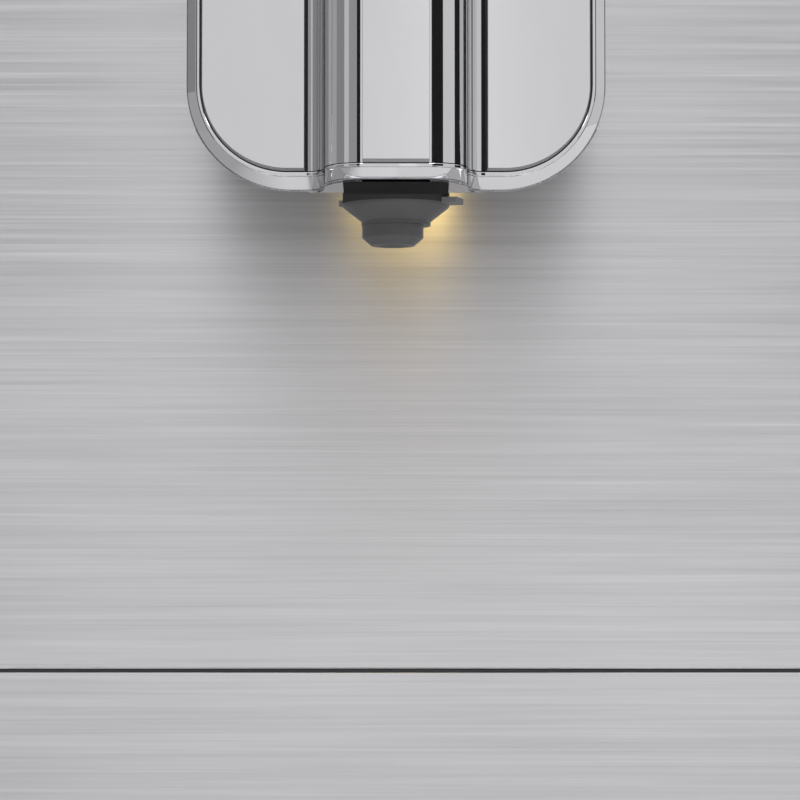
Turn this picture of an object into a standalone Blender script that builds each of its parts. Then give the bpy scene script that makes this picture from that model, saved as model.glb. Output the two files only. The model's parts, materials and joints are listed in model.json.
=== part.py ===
"""A bean to cup coffee machine, in metres, +Z up, its front towards -Y.

The origin is the middle of its footprint, on the surface that it stands on.
Each piece is one closed body with its own name.
"""

from math import acos, atan2, cos, pi, radians, sin, sqrt, tan

import bmesh
import bpy
from mathutils import Matrix, Vector

# Driving sizes of the whole machine
WIDTH = 0.280
BODY_DEPTH = 0.310
TRAY_REACH = 0.130
HEIGHT = 0.375
FOOT_HEIGHT = 0.006
FLOOR_THICKNESS = 0.004
GRID_TOP = 0.050
DRAWER_HEIGHT = 0.0645
FASCIA_HEIGHT = 0.0662
FASCIA_RUN = 0.018
HOPPER_FLANGE_THICKNESS = 0.002
BARREL_RADIUS = 0.0026
SHEET = 0.002
DECK_THICKNESS = 0.004

# Clearances
FIT = 0.0003
SEAM = 0.0005
RUNNING = 0.0006
OVERRUN = 0.003

# How finely round shapes are cut
ROUND = 24
FINE_ROUND = 48
SMALL_ROUND = 12
CORNER_STEPS = 4
SLOT_STEPS = 3
SHARP = radians(30)

# Planes worked out from the driving sizes
HALF = WIDTH / 2
BACK = (BODY_DEPTH + TRAY_REACH) / 2
PANEL_Y = BACK - BODY_DEPTH
FLOOR_TOP = FOOT_HEIGHT + FLOOR_THICKNESS
INNER = HALF - SHEET - FIT
PANEL_BACK = PANEL_Y + SHEET
DRAWER_LIFT = 0.003
DRAWER_BOTTOM = GRID_TOP + DRAWER_LIFT
DRAWER_TOP = DRAWER_BOTTOM + DRAWER_HEIGHT
PANEL_BOTTOM = DRAWER_TOP + SEAM
LID_STACK = 2 * FIT + HOPPER_FLANGE_THICKNESS + 2 * BARREL_RADIUS
DECK_TOP = HEIGHT - LID_STACK
DECK_BOTTOM = DECK_TOP - DECK_THICKNESS
FASCIA_TOP = DECK_BOTTOM - SEAM
FASCIA_BOTTOM = FASCIA_TOP - FASCIA_HEIGHT
FASCIA_TILT = atan2(FASCIA_RUN, FASCIA_HEIGHT)
PANEL_TOP = FASCIA_BOTTOM - SEAM


# Shapes


def block(low, high):
    """A box between two corners."""
    shape = bmesh.new()
    corners = [
        shape.verts.new((x, y, z)) for z in (low[2], high[2]) for y in (low[1], high[1])
        for x in (low[0], high[0])
    ]
    for loop in ((0, 2, 3, 1), (4, 5, 7, 6), (0, 1, 5, 4), (1, 3, 7, 5), (3, 2, 6, 7), (2, 0, 4, 6)):
        shape.faces.new([corners[i] for i in loop])
    return shape


def prism(outline, axis, start, end):
    """An outline, drawn in the two other axes in their order, drawn out along axis."""
    shape = bmesh.new()

    def point(pair, along):
        place = list(pair)
        place.insert(axis, along)
        return place

    low = [shape.verts.new(point(pair, start)) for pair in outline]
    high = [shape.verts.new(point(pair, end)) for pair in outline]
    shape.faces.new(low)
    shape.faces.new(high[::-1])
    for i in range(len(low)):
        after = (i + 1) % len(low)
        shape.faces.new((low[after], low[i], high[i], high[after]))
    bmesh.ops.recalc_face_normals(shape, faces=shape.faces)
    return shape


def turned(profile, centre, steps=ROUND, axis="Z"):
    """A closed profile of radius and height, turned about an axis through centre."""
    shape = bmesh.new()
    rings = []
    for radius, height in profile:
        if radius == 0:
            rings.append([shape.verts.new((0, 0, height))])
            continue
        angles = [2 * pi * i / steps for i in range(steps)]
        rings.append([shape.verts.new((radius * cos(a), radius * sin(a), height)) for a in angles])
    for one, two in zip(rings, rings[1:] + rings[:1]):
        if len(one) == 1 and len(two) == 1:
            continue
        for i in range(steps):
            after = (i + 1) % steps
            corners = [one[i % len(one)], two[i % len(two)], two[after % len(two)], one[after % len(one)]]
            shape.faces.new(list(dict.fromkeys(corners)))
    bmesh.ops.recalc_face_normals(shape, faces=shape.faces)
    turns = {"Z": Matrix(), "Y": Matrix.Rotation(-pi / 2, 4, "X"), "X": Matrix.Rotation(pi / 2, 4, "Y")}
    shape.transform(Matrix.Translation(centre) @ turns[axis])
    return shape


def rod(radius, start, end, centre, steps=ROUND, axis="Z"):
    """A round bar from start to end along an axis through centre."""
    profile = [(0, start), (radius, start), (radius, end), (0, end)]
    return turned(profile, centre, steps, axis)


def ring(inner, outer, start, end, centre, steps=ROUND, axis="Z"):
    """A round tube from start to end along an axis through centre."""
    profile = [(inner, start), (outer, start), (outer, end), (inner, end)]
    return turned(profile, centre, steps, axis)


def bridged(lower, upper):
    """A closed body between two outlines of as many points each."""
    shape = bmesh.new()
    one = [shape.verts.new(p) for p in lower]
    two = [shape.verts.new(p) for p in upper]
    shape.faces.new(one)
    shape.faces.new(two[::-1])
    for i in range(len(one)):
        after = (i + 1) % len(one)
        shape.faces.new((one[after], one[i], two[i], two[after]))
    bmesh.ops.recalc_face_normals(shape, faces=shape.faces)
    return shape


def arc(centre, radii, start, end, steps=CORNER_STEPS):
    """Points of an elliptic arc from one angle to another, in radians."""
    angles = [start + (end - start) * i / steps for i in range(steps + 1)]
    return [(centre[0] + radii[0] * cos(a), centre[1] + radii[1] * sin(a)) for a in angles]


def rounded(low, high, radii, steps=CORNER_STEPS):
    """A rectangle with a radius at each corner: low left, low right, high right, high left."""
    places = [
        (low[0], low[1], 1, 1, pi), (high[0], low[1], -1, 1, 1.5 * pi),
        (high[0], high[1], -1, -1, 0), (low[0], high[1], 1, -1, pi / 2),
    ]
    points = []
    for (u, v, right, up, start), radius in zip(places, radii):
        if radius == 0:
            points.append((u, v))
            continue
        centre = (u + right * radius, v + up * radius)
        points += arc(centre, (radius, radius), start, start + pi / 2, steps)
    return points


def slab(low, high, radius, steps=CORNER_STEPS):
    """A box whose upright edges are rounded."""
    return prism(rounded(low[:2], high[:2], [radius] * 4, steps), 2, low[2], high[2])


def slot(middle, start, end, half, low, high):
    """An upright cutter with round ends, along Y."""
    near = arc((middle, start + half), (half, half), pi, 2 * pi, SLOT_STEPS)
    far = arc((middle, end - half), (half, half), 0, pi, SLOT_STEPS)
    return prism(near + far, 2, low, high)


def span(side, near, far):
    """The low and high X of a stretch that lies to one side of the middle."""
    return sorted((side * near, side * far))


def together(shapes):
    """Shapes that don't meet, as one."""
    whole = bmesh.new()
    for shape in shapes:
        mesh = bpy.data.meshes.new("shape")
        shape.to_mesh(mesh)
        shape.free()
        whole.from_mesh(mesh)
        bpy.data.meshes.remove(mesh)
    return whole


# Objects


def linked(name, shape):
    mesh = bpy.data.meshes.new(name)
    shape.to_mesh(mesh)
    shape.free()
    thing = bpy.data.objects.new(name, mesh)
    bpy.context.scene.collection.objects.link(thing)
    return thing


def worked(thing, shape, operation):
    """Adds a shape to an object, or cuts it away, with a helper that isn't a piece itself."""
    helper = linked(thing.name + "." + operation.lower(), shape)
    helper.hide_render = True
    helper.display_type = "WIRE"
    step = thing.modifiers.new(operation.title(), "BOOLEAN")
    step.operation = operation
    step.object = helper
    step.solver = "EXACT"


def axis_empty(name, place):
    """An empty on a joint's axis, which carries the pieces that the joint moves."""
    empty = bpy.data.objects.new(name, None)
    empty.location = place
    bpy.context.scene.collection.objects.link(empty)
    return empty


def piece(name, paint, shapes, cuts=(), carrier=None):
    """One piece: shapes that overlap, joined, with cuts taken out, on its carrier if it moves."""
    base = shapes[0]
    if carrier is not None:
        base.transform(Matrix.Translation(-carrier.location))
    thing = linked(name, base)
    thing.parent = carrier
    for shape in shapes[1:]:
        worked(thing, shape, "UNION")
    for shape in cuts:
        worked(thing, shape, "DIFFERENCE")
    thing.data.materials.append(paint)
    thing.data.shade_smooth()
    thing.data.set_sharp_from_angle(angle=SHARP)
    return thing


def painted(name, colour, roughness, metallic=0.0, alpha=1.0):
    paint = bpy.data.materials.new(name)
    paint.use_nodes = True
    shader = paint.node_tree.nodes["Principled BSDF"]
    shader.inputs["Base Color"].default_value = (*colour, 1.0)
    shader.inputs["Roughness"].default_value = roughness
    shader.inputs["Metallic"].default_value = metallic
    shader.inputs["Alpha"].default_value = alpha
    return paint


# Base, feet and the two things that slide over it

RAIL_WIDTH = 0.0257
RAIL_DEPTH = 0.145
TANK_WIDTH = 0.119
TANK_DEPTH = 0.111
TANK_BOTTOM = 0.030
TANK_RIM_DROP = 0.0056
VALVE_INSET = 0.040
VALVE_RADIUS = 0.009
FOOT_RADIUS = 0.012
FOOT_TAPER = 0.0015
FOOT_INSET = 0.026
BASE_NOSE = 0.004

TANK_LOW_X = -HALF + SEAM
TANK_HIGH_X = TANK_LOW_X + TANK_WIDTH
TANK_LOW_Y = BACK - SEAM - TANK_DEPTH
TANK_HIGH_Y = BACK - SEAM
TANK_TOP = DECK_TOP - TANK_RIM_DROP
VALVE_PLACE = (TANK_HIGH_X - VALVE_INSET, TANK_LOW_Y + VALVE_INSET)
RAIL_INNER = INNER - RAIL_WIDTH
RAIL_FRONT = PANEL_BACK + SHEET


def base_frame(paint):
    """The moulded floor and its feet, the rails that the grounds drawer runs on and the tank's seat."""
    floor = block(
        (-INNER, TRAY_LOW_Y + BASE_NOSE, FOOT_HEIGHT), (INNER, BACK - SHEET - FIT, FLOOR_TOP)
    )
    rails = []
    for side in (-1, 1):
        left, right = span(side, RAIL_INNER, INNER)
        rails.append(
            block(
                (left, RAIL_FRONT, FOOT_HEIGHT + SHEET),
                (right, RAIL_FRONT + RAIL_DEPTH, DRAWER_BOTTOM - FIT),
            )
        )
    seat = block(
        (-INNER, TANK_LOW_Y, FOOT_HEIGHT + SHEET),
        (TANK_HIGH_X - RUNNING, BACK - SHEET - FIT, TANK_BOTTOM - FIT),
    )
    socket = rod(VALVE_RADIUS + RUNNING, FLOOR_TOP, TANK_BOTTOM + OVERRUN, (*VALVE_PLACE, 0))
    piece("base_frame", paint, [floor, *rails, seat, feet()], [socket])


def feet():
    """The four feet, moulded with the floor."""
    front = TRAY_LOW_Y + BASE_NOSE + FOOT_INSET
    rear = BACK - FOOT_INSET
    places = [(side * (HALF - FOOT_INSET), y) for y in (front, rear) for side in (-1, 1)]
    into = FOOT_HEIGHT + FLOOR_THICKNESS / 2
    profile = [
        (0, 0), (FOOT_RADIUS - FOOT_TAPER, 0), (FOOT_RADIUS, FOOT_TAPER), (FOOT_RADIUS, into), (0, into)
    ]
    return together([turned(profile, (*place, 0), SMALL_ROUND) for place in places])


TRAY_WALL = 0.003
TRAY_FLOOR = 0.0025
TRAY_TONGUE = 0.130
TRAY_CORNER = 0.010
TRIM_THICKNESS = 0.001
GRID_THICKNESS = 0.0015
GRID_LEDGE = 0.0012
GRID_SLOT_WIDTH = 0.005
GRID_SLOT_PITCH = 0.011
GRID_SLOT_ROWS = 2
GRID_MARGIN = 0.010
GRID_BAR = 0.008
FLOAT_RADIUS = 0.0045
FLOAT_DISC_RADIUS = 0.012
FLOAT_DISC_HEIGHT = 0.008
FLOAT_INSET = 0.006

TRAY_LOW_Y = -BACK
TRAY_BODY_Y = TRAY_LOW_Y + TRIM_THICKNESS + FIT
TRAY_BACK_Y = PANEL_Y - SEAM
TRAY_BOTTOM = FLOOR_TOP + FIT
TONGUE_HALF = RAIL_INNER - RUNNING
TONGUE_END = PANEL_Y + TRAY_TONGUE
GRID_HALF = HALF - TRAY_WALL + GRID_LEDGE - FIT
GRID_LOW_Y = TRAY_BODY_Y + TRAY_WALL - GRID_LEDGE + FIT
GRID_HIGH_Y = TRAY_BACK_Y - TRAY_WALL + GRID_LEDGE - FIT
FLOAT_PLACE = (
    HALF - TRAY_WALL - FLOAT_DISC_RADIUS - FLOAT_INSET,
    TRAY_BACK_Y - TRAY_WALL - FLOAT_DISC_RADIUS - RUNNING,
)


def drip_tray(paint, carrier):
    """The drip tray: a wide pan in front of the machine, and a tongue that runs in under it."""
    radii = (TRAY_CORNER, TRAY_CORNER, 0, 0)
    front = prism(
        rounded((-HALF, TRAY_BODY_Y), (HALF, TRAY_BACK_Y), radii), 2, TRAY_BOTTOM, GRID_TOP
    )
    tongue = block(
        (-TONGUE_HALF, TRAY_BACK_Y - TRAY_WALL, TRAY_BOTTOM), (TONGUE_HALF, TONGUE_END, GRID_TOP)
    )
    inside = rounded(
        (-HALF + TRAY_WALL, TRAY_BODY_Y + TRAY_WALL), (HALF - TRAY_WALL, TRAY_BACK_Y - TRAY_WALL),
        [corner - TRAY_WALL if corner else 0 for corner in radii],
    )
    pan = prism(inside, 2, TRAY_BOTTOM + TRAY_FLOOR, GRID_TOP + OVERRUN)
    rear_pan = block(
        (-TONGUE_HALF + TRAY_WALL, TRAY_BACK_Y - 2 * TRAY_WALL, TRAY_BOTTOM + TRAY_FLOOR),
        (TONGUE_HALF - TRAY_WALL, TONGUE_END - TRAY_WALL, GRID_TOP - GRID_THICKNESS - SHEET),
    )
    rear_mouth = block(
        (-TONGUE_HALF + TRAY_WALL, TRAY_BACK_Y + TRAY_WALL, TRAY_BOTTOM + TRAY_FLOOR),
        (TONGUE_HALF - TRAY_WALL, TONGUE_END - TRAY_WALL, GRID_TOP + OVERRUN),
    )
    ledge = prism(
        rounded(
            (-GRID_HALF - FIT, GRID_LOW_Y - FIT), (GRID_HALF + FIT, GRID_HIGH_Y + FIT),
            [corner - TRAY_WALL + GRID_LEDGE if corner else 0 for corner in radii],
        ),
        2, GRID_TOP - GRID_THICKNESS - FIT, GRID_TOP + OVERRUN,
    )
    piece("drip_tray", paint, [front, tongue], [pan, rear_pan, rear_mouth, ledge], carrier)


def tray_trim(paint, carrier):
    """The steel strip across the front of the tray."""
    low = (-HALF + TRAY_CORNER, TRAY_LOW_Y, TRAY_BOTTOM)
    high = (HALF - TRAY_CORNER, TRAY_LOW_Y + TRIM_THICKNESS, GRID_TOP)
    piece("tray_trim", paint, [block(low, high)], (), carrier)


def drip_grid(paint, carrier):
    """The slotted steel plate that cups stand on."""
    corner = TRAY_CORNER - TRAY_WALL + GRID_LEDGE - FIT
    outline = rounded((-GRID_HALF, GRID_LOW_Y), (GRID_HALF, GRID_HIGH_Y), (corner, corner, 0, 0))
    plate = prism(outline, 2, GRID_TOP - GRID_THICKNESS, GRID_TOP)
    slot_low = GRID_LOW_Y + GRID_MARGIN
    slot_room = FLOAT_PLACE[1] - FLOAT_RADIUS - GRID_BAR - slot_low
    slot_length = (slot_room - GRID_BAR * (GRID_SLOT_ROWS - 1)) / GRID_SLOT_ROWS
    count = int(2 * (GRID_HALF - GRID_MARGIN) / GRID_SLOT_PITCH)
    low = GRID_TOP - GRID_THICKNESS - OVERRUN
    high = GRID_TOP + OVERRUN
    slots = []
    for row in range(GRID_SLOT_ROWS):
        start = slot_low + row * (slot_length + GRID_BAR)
        for column in range(count):
            x = (column - (count - 1) / 2) * GRID_SLOT_PITCH
            slots.append(slot(x, start, start + slot_length, GRID_SLOT_WIDTH / 2, low, high))
    hole = rod(FLOAT_RADIUS + RUNNING, low, high, (*FLOAT_PLACE, 0), SMALL_ROUND)
    piece("drip_grid", paint, [plate], [together(slots + [hole])], carrier)


def float_indicator(paint, carrier):
    """The float that rises through the grid when the tray is full."""
    base = TRAY_BOTTOM + TRAY_FLOOR + FIT
    profile = [
        (0, base), (FLOAT_DISC_RADIUS, base), (FLOAT_DISC_RADIUS, base + FLOAT_DISC_HEIGHT),
        (FLOAT_RADIUS, base + FLOAT_DISC_HEIGHT), (FLOAT_RADIUS, GRID_TOP), (0, GRID_TOP),
    ]
    piece("float_indicator", paint, [turned(profile, (*FLOAT_PLACE, 0), SMALL_ROUND)], (), carrier)


DRAWER_SIDE_ROOM = 0.004
DRAWER_BOX_DROP = 0.006
DRAWER_WALL = 0.0025
DRAWER_CORNER = 0.012
DRAWER_LENGTH = 0.140
DRAWER_BOX_Y = PANEL_BACK + FIT


def grounds_drawer(paint, carrier):
    """The open container for spent grounds, which runs on the base's rails."""
    half = INNER - DRAWER_SIDE_ROOM
    low = (-half, DRAWER_BOX_Y, DRAWER_BOTTOM)
    high = (half, DRAWER_BOX_Y + DRAWER_LENGTH, DRAWER_TOP - DRAWER_BOX_DROP)
    box = slab(low, high, DRAWER_CORNER)
    hollow = slab(
        (low[0] + DRAWER_WALL, low[1] + DRAWER_WALL, low[2] + DRAWER_WALL),
        (high[0] - DRAWER_WALL, high[1] - DRAWER_WALL, high[2] + OVERRUN),
        DRAWER_CORNER - DRAWER_WALL,
    )
    piece("grounds_drawer", paint, [box], [hollow], carrier)


def drawer_front(paint, carrier):
    """The brushed steel front of the grounds drawer."""
    low = (-HALF, PANEL_Y, DRAWER_BOTTOM)
    high = (HALF, PANEL_BACK, DRAWER_TOP)
    piece("drawer_front", paint, [block(low, high)], (), carrier)


# Casing

SLOT_HALF = 0.006
SPOUT_TOP_GAP = 0.0066
SPOUT_HEIGHT = 0.100
SPOUT_DOWN = 0.060
SPOUT_UP = 0.005
ARM_HEIGHT = 0.020
ARM_DROP = 0.008
DOOR_LOW_Y_INSET = 0.022
DOOR_DEPTH = 0.122
DOOR_BOTTOM = 0.060
DOOR_TOP_GAP = 0.0632
DOOR_GAP = 0.0008
DOOR_NOTCH_RADIUS = 0.009
BORE_RADIUS = 0.0013
PIN_RADIUS = 0.0010
LUG_LENGTH = 0.005
DOOR_SWING_ROOM = 0.0008

SPOUT_TOP = PANEL_TOP - SPOUT_TOP_GAP
SPOUT_BOTTOM = SPOUT_TOP - SPOUT_HEIGHT
ARM_TOP = SPOUT_TOP - ARM_DROP
ARM_BOTTOM = ARM_TOP - ARM_HEIGHT
DOOR_LOW_Y = PANEL_BACK + DOOR_LOW_Y_INSET
DOOR_HINGE_Y = DOOR_LOW_Y + DOOR_DEPTH
DOOR_HINGE_X = HALF - BARREL_RADIUS
DOOR_TOP = DECK_BOTTOM - DOOR_TOP_GAP


def front_panel(paint):
    """The brushed steel panel behind the spout, with the slot that the spout's arm runs in."""
    plate = block((-HALF, PANEL_Y, PANEL_BOTTOM), (HALF, PANEL_BACK, PANEL_TOP))
    slot = block(
        (-SLOT_HALF, PANEL_Y - OVERRUN, ARM_BOTTOM - SPOUT_DOWN - SEAM),
        (SLOT_HALF, PANEL_BACK + OVERRUN, ARM_TOP + SPOUT_UP + SEAM),
    )
    piece("front_panel", paint, [plate], [slot])


def flank(start, end, rear):
    """A side panel's plate, whose front follows the fascia's slope."""
    front = PANEL_BACK + FIT
    slope_start = PANEL_Y + FASCIA_ACROSS + FIT
    top = DECK_BOTTOM - FIT
    outline = [
        (front, FOOT_HEIGHT), (rear, FOOT_HEIGHT), (rear, top), (slope_start + FASCIA_RUN, top),
        (slope_start, FASCIA_BOTTOM), (slope_start, FASCIA_BOTTOM - SEAM), (front, FASCIA_BOTTOM - SEAM),
    ]
    return prism(outline, 0, start, end)


def left_side_panel(paint):
    """The left flank, up to where the water tank forms the corner."""
    piece("left_side_panel", paint, [flank(-HALF, -HALF + SHEET, TANK_LOW_Y - RUNNING)])


def right_side_panel(paint):
    """The right flank, with the opening and the hinge lugs of the service door."""
    opening = block(
        (HALF - SHEET - OVERRUN, DOOR_LOW_Y - DOOR_GAP, DOOR_BOTTOM - DOOR_GAP),
        (HALF + OVERRUN, DOOR_HINGE_Y + BARREL_RADIUS + DOOR_SWING_ROOM, DOOR_TOP + DOOR_GAP),
    )
    lugs = []
    bores = []
    for start in (DOOR_BOTTOM - DOOR_GAP - LUG_LENGTH, DOOR_TOP + DOOR_GAP):
        lugs.append(
            block(
                (DOOR_HINGE_X - BARREL_RADIUS, DOOR_HINGE_Y - BARREL_RADIUS, start),
                (HALF - SHEET / 2, DOOR_HINGE_Y + BARREL_RADIUS, start + LUG_LENGTH),
            )
        )
        end = start + LUG_LENGTH + FIT
        bores.append(rod(BORE_RADIUS, start - FIT, end, (DOOR_HINGE_X, DOOR_HINGE_Y, 0), SMALL_ROUND))
    plate = flank(HALF - SHEET, HALF, BACK - SHEET - FIT)
    piece("right_side_panel", paint, [plate, together(lugs)], [opening, together(bores)])


def service_door(paint, carrier):
    """The flap over the brewing unit, with its hinge barrel and pins and a notch for a finger."""
    plate = block((HALF - SHEET, DOOR_LOW_Y, DOOR_BOTTOM), (HALF, DOOR_HINGE_Y, DOOR_TOP))
    centre = (DOOR_HINGE_X, DOOR_HINGE_Y, 0)
    barrel = rod(BARREL_RADIUS, DOOR_BOTTOM, DOOR_TOP, centre, SMALL_ROUND)
    reach = DOOR_GAP + LUG_LENGTH
    pin = rod(PIN_RADIUS, DOOR_BOTTOM - reach, DOOR_TOP + reach, centre, SMALL_ROUND)
    notch = rod(
        DOOR_NOTCH_RADIUS, HALF - SHEET - OVERRUN, HALF + OVERRUN,
        (0, DOOR_LOW_Y, (DOOR_BOTTOM + DOOR_TOP) / 2), ROUND, "X",
    )
    piece("service_door", paint, [plate, barrel, pin], [notch], carrier)


VENT_HEIGHT = 0.004
VENT_WIDTH = 0.056
VENT_PITCH = 0.010
VENT_COUNT = 9
VENT_DROP = 0.1632
INLET_WIDTH = 0.028
INLET_HEIGHT = 0.021
INLET_DEPTH = 0.022
INLET_INSET = 0.0377
INLET_Z = 0.050
INLET_WALL = 0.002
INLET_FLANGE = 0.004
INLET_PIN = 0.0022
INLET_PIN_SPACING = 0.007
INLET_PIN_SETBACK = 0.006
SWITCH_WIDTH = 0.030
SWITCH_HEIGHT = 0.014
SWITCH_SPACING = 0.050
SWITCH_FRAME = 0.0025
ROCKER_ANGLE = radians(8)
ROCKER_DEPTH = 0.006

REAR_LOW_X = TANK_HIGH_X + RUNNING
VENT_START = DECK_BOTTOM - VENT_DROP
INLET_X = INNER - INLET_INSET
SWITCH_X = INLET_X - SWITCH_SPACING
ROCKER_AXIS_Y = BACK - ROCKER_DEPTH


def rear_cover(paint):
    """The rear cover, beside the tank, with its vents and the holes for inlet and switch."""
    low = (REAR_LOW_X, BACK - SHEET, FOOT_HEIGHT)
    high = (HALF, BACK, DECK_BOTTOM - FIT)
    middle = (REAR_LOW_X + HALF) / 2
    vents = []
    for row in range(VENT_COUNT):
        z = VENT_START + row * VENT_PITCH
        vents.append(
            block(
                (middle - VENT_WIDTH / 2, low[1] - OVERRUN, z),
                (middle + VENT_WIDTH / 2, BACK + OVERRUN, z + VENT_HEIGHT),
            )
        )
    holes = [
        block(
            (x - width / 2 - FIT, low[1] - OVERRUN, INLET_Z - height / 2 - FIT),
            (x + width / 2 + FIT, BACK + OVERRUN, INLET_Z + height / 2 + FIT),
        )
        for x, width, height in (
            (INLET_X, INLET_WIDTH, INLET_HEIGHT), (SWITCH_X, SWITCH_WIDTH, SWITCH_HEIGHT)
        )
    ]
    piece("rear_cover", paint, [block(low, high)], [together(vents + holes)])


def mains_inlet(paint):
    """The inlet module: the recessed mains inlet with its three pins, and the frame of the rocker."""
    bodies = together([
        module_block(INLET_X, INLET_WIDTH, INLET_HEIGHT, 0, BACK),
        module_block(SWITCH_X, SWITCH_WIDTH, SWITCH_HEIGHT, 0, BACK),
    ])
    hollows = together([
        module_block(INLET_X, INLET_WIDTH, INLET_HEIGHT, INLET_WALL, BACK + OVERRUN),
        module_block(SWITCH_X, SWITCH_WIDTH, SWITCH_HEIGHT, SWITCH_FRAME, BACK + OVERRUN),
    ])
    rear = BACK - SHEET - FIT
    flange_half = INLET_HEIGHT / 2 + INLET_FLANGE
    flange = block(
        (SWITCH_X - SWITCH_WIDTH / 2 - INLET_FLANGE, rear - INLET_WALL, INLET_Z - flange_half),
        (INLET_X + INLET_WIDTH / 2 + INLET_FLANGE, rear, INLET_Z + flange_half),
    )
    thing = piece("mains_inlet", paint, [flange, bodies], [hollows])
    pins = []
    for step in (-1, 0, 1):
        x = INLET_X + step * INLET_PIN_SPACING
        z = INLET_Z - INLET_PIN if step else INLET_Z + INLET_PIN
        pins.append(
            block(
                (x - INLET_PIN / 2, BACK - INLET_DEPTH + INLET_WALL / 2, z - INLET_PIN),
                (x + INLET_PIN / 2, BACK - INLET_PIN_SETBACK, z + INLET_PIN),
            )
        )
    worked(thing, together(pins), "UNION")


def module_block(x, width, height, wall, end):
    """A box of the inlet module, drawn in by a wall, from its depth out to an end."""
    return block(
        (x - width / 2 + wall, BACK - INLET_DEPTH + wall, INLET_Z - height / 2 + wall),
        (x + width / 2 - wall, end, INLET_Z + height / 2 - wall),
    )


def power_switch(paint, carrier):
    """The mains rocker, tipped to off."""
    half_x = SWITCH_WIDTH / 2 - SWITCH_FRAME - RUNNING
    half_z = SWITCH_HEIGHT / 2 - SWITCH_FRAME - RUNNING
    reach = half_x * sin(ROCKER_ANGLE)
    outer = BACK - reach - FIT
    inner = BACK - INLET_DEPTH + SWITCH_FRAME + reach + FIT
    outline = [
        (SWITCH_X - half_x, outer), (SWITCH_X, outer - reach), (SWITCH_X + half_x, outer),
        (SWITCH_X + SWITCH_FRAME, inner), (SWITCH_X - SWITCH_FRAME, inner),
    ]
    body = prism(outline, 2, INLET_Z - half_z, INLET_Z + half_z)
    turn = Matrix.Translation(carrier.location) @ Matrix.Rotation(-ROCKER_ANGLE / 2, 4, "Z")
    body.transform(turn @ Matrix.Translation(-carrier.location))
    piece("power_switch", paint, [body], (), carrier)


FRAME_PLATE = 0.0024
BULKHEAD_Y = 0.070
BREW_RAIL_WIDTH = 0.006
BREW_RAIL_HEIGHT = 0.007
BAY_WALL_BACK = TANK_LOW_Y - RUNNING
BAY_WALL_X = TANK_HIGH_X + RUNNING
BULKHEAD_BACK = BULKHEAD_Y + FRAME_PLATE


def inner_frame(paint):
    """The bulkhead that the works hang on, the walls of the tank bay and the brewing unit's rails."""
    bottom = FLOOR_TOP + FIT
    top = DECK_BOTTOM - FIT
    bulkhead = block((-INNER, BULKHEAD_Y, bottom), (INNER, BULKHEAD_BACK, top))
    front_wall = block(
        (-INNER, BAY_WALL_BACK - FRAME_PLATE, bottom), (BAY_WALL_X + FRAME_PLATE / 2, BAY_WALL_BACK, top)
    )
    side_wall = block(
        (BAY_WALL_X, BULKHEAD_Y + FRAME_PLATE / 2, bottom),
        (BAY_WALL_X + FRAME_PLATE, BACK - SHEET - FIT, top),
    )
    rails = [
        block(
            (x, BREW_LOW_Y, BREW_BOTTOM - FIT - BREW_RAIL_HEIGHT),
            (x + BREW_RAIL_WIDTH, BULKHEAD_Y + FRAME_PLATE / 2, BREW_BOTTOM - FIT),
        )
        for x in (BREW_LOW_X, BREW_HIGH_X - BREW_RAIL_WIDTH)
    ]
    piece("inner_frame", paint, [bulkhead, front_wall, side_wall, together([*rails, boiler_shelf()])])


# Control fascia: its own frame has X across, Y inward and Z up the slope

FASCIA_THICKNESS = 0.003
DISPLAY_GAP = 0.018
DISPLAY_HEIGHT = 0.032
DISPLAY_DEPTH = 0.0012
BUTTON_SIZE = 0.016
BUTTON_CORNER = 0.003
BUTTON_STEPS = 3
BUTTON_PROUD = 0.0010
BUTTON_FLANGE = 0.0010
BUTTON_PITCH_Z = 0.026
BUTTON_GAP = 0.008
KNOB_INSET = 0.035
KNOB_RADIUS = 0.017
KNOB_PROUD = 0.014
KNOB_SKIRT = 0.004
KNOB_TAPER = 0.0015
SHAFT_RADIUS = 0.003
BOARD_GAP = 0.005
BOARD_THICKNESS = 0.0016
BOARD_MARGIN = 0.010
BOARD_STANDOFF = 0.003
ENCODER_HALF = 0.006
ENCODER_DEPTH = 0.0030

FASCIA_ACROSS = FASCIA_THICKNESS / cos(FASCIA_TILT)
FASCIA_LENGTH = sqrt(FASCIA_RUN**2 + FASCIA_HEIGHT**2)
FASCIA_MIDDLE = FASCIA_LENGTH / 2
KNOB_X = HALF - KNOB_INSET
BUTTON_START_X = KNOB_X - KNOB_RADIUS - BUTTON_GAP - BUTTON_SIZE / 2
DISPLAY_WIDTH = 2 * (BUTTON_START_X - BUTTON_SIZE / 2 - DISPLAY_GAP)
FASCIA_FRAME = Matrix.Translation((0, PANEL_Y, FASCIA_BOTTOM)) @ Matrix.Rotation(-FASCIA_TILT, 4, "X")
BUTTON_PLACES = {
    "button_power": (-KNOB_X, FASCIA_MIDDLE),
    "button_strength": (-BUTTON_START_X, FASCIA_MIDDLE),
    "button_one_cup": (BUTTON_START_X, FASCIA_MIDDLE + BUTTON_PITCH_Z / 2),
    "button_two_cups": (BUTTON_START_X, FASCIA_MIDDLE - BUTTON_PITCH_Z / 2),
}
BOARD_FRONT = FASCIA_THICKNESS + BOARD_GAP
BOARD_HALF = HALF - BOARD_MARGIN


def on_fascia(shape):
    """Moves a shape from the fascia's own frame to the machine's."""
    shape.transform(FASCIA_FRAME)
    return shape


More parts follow.
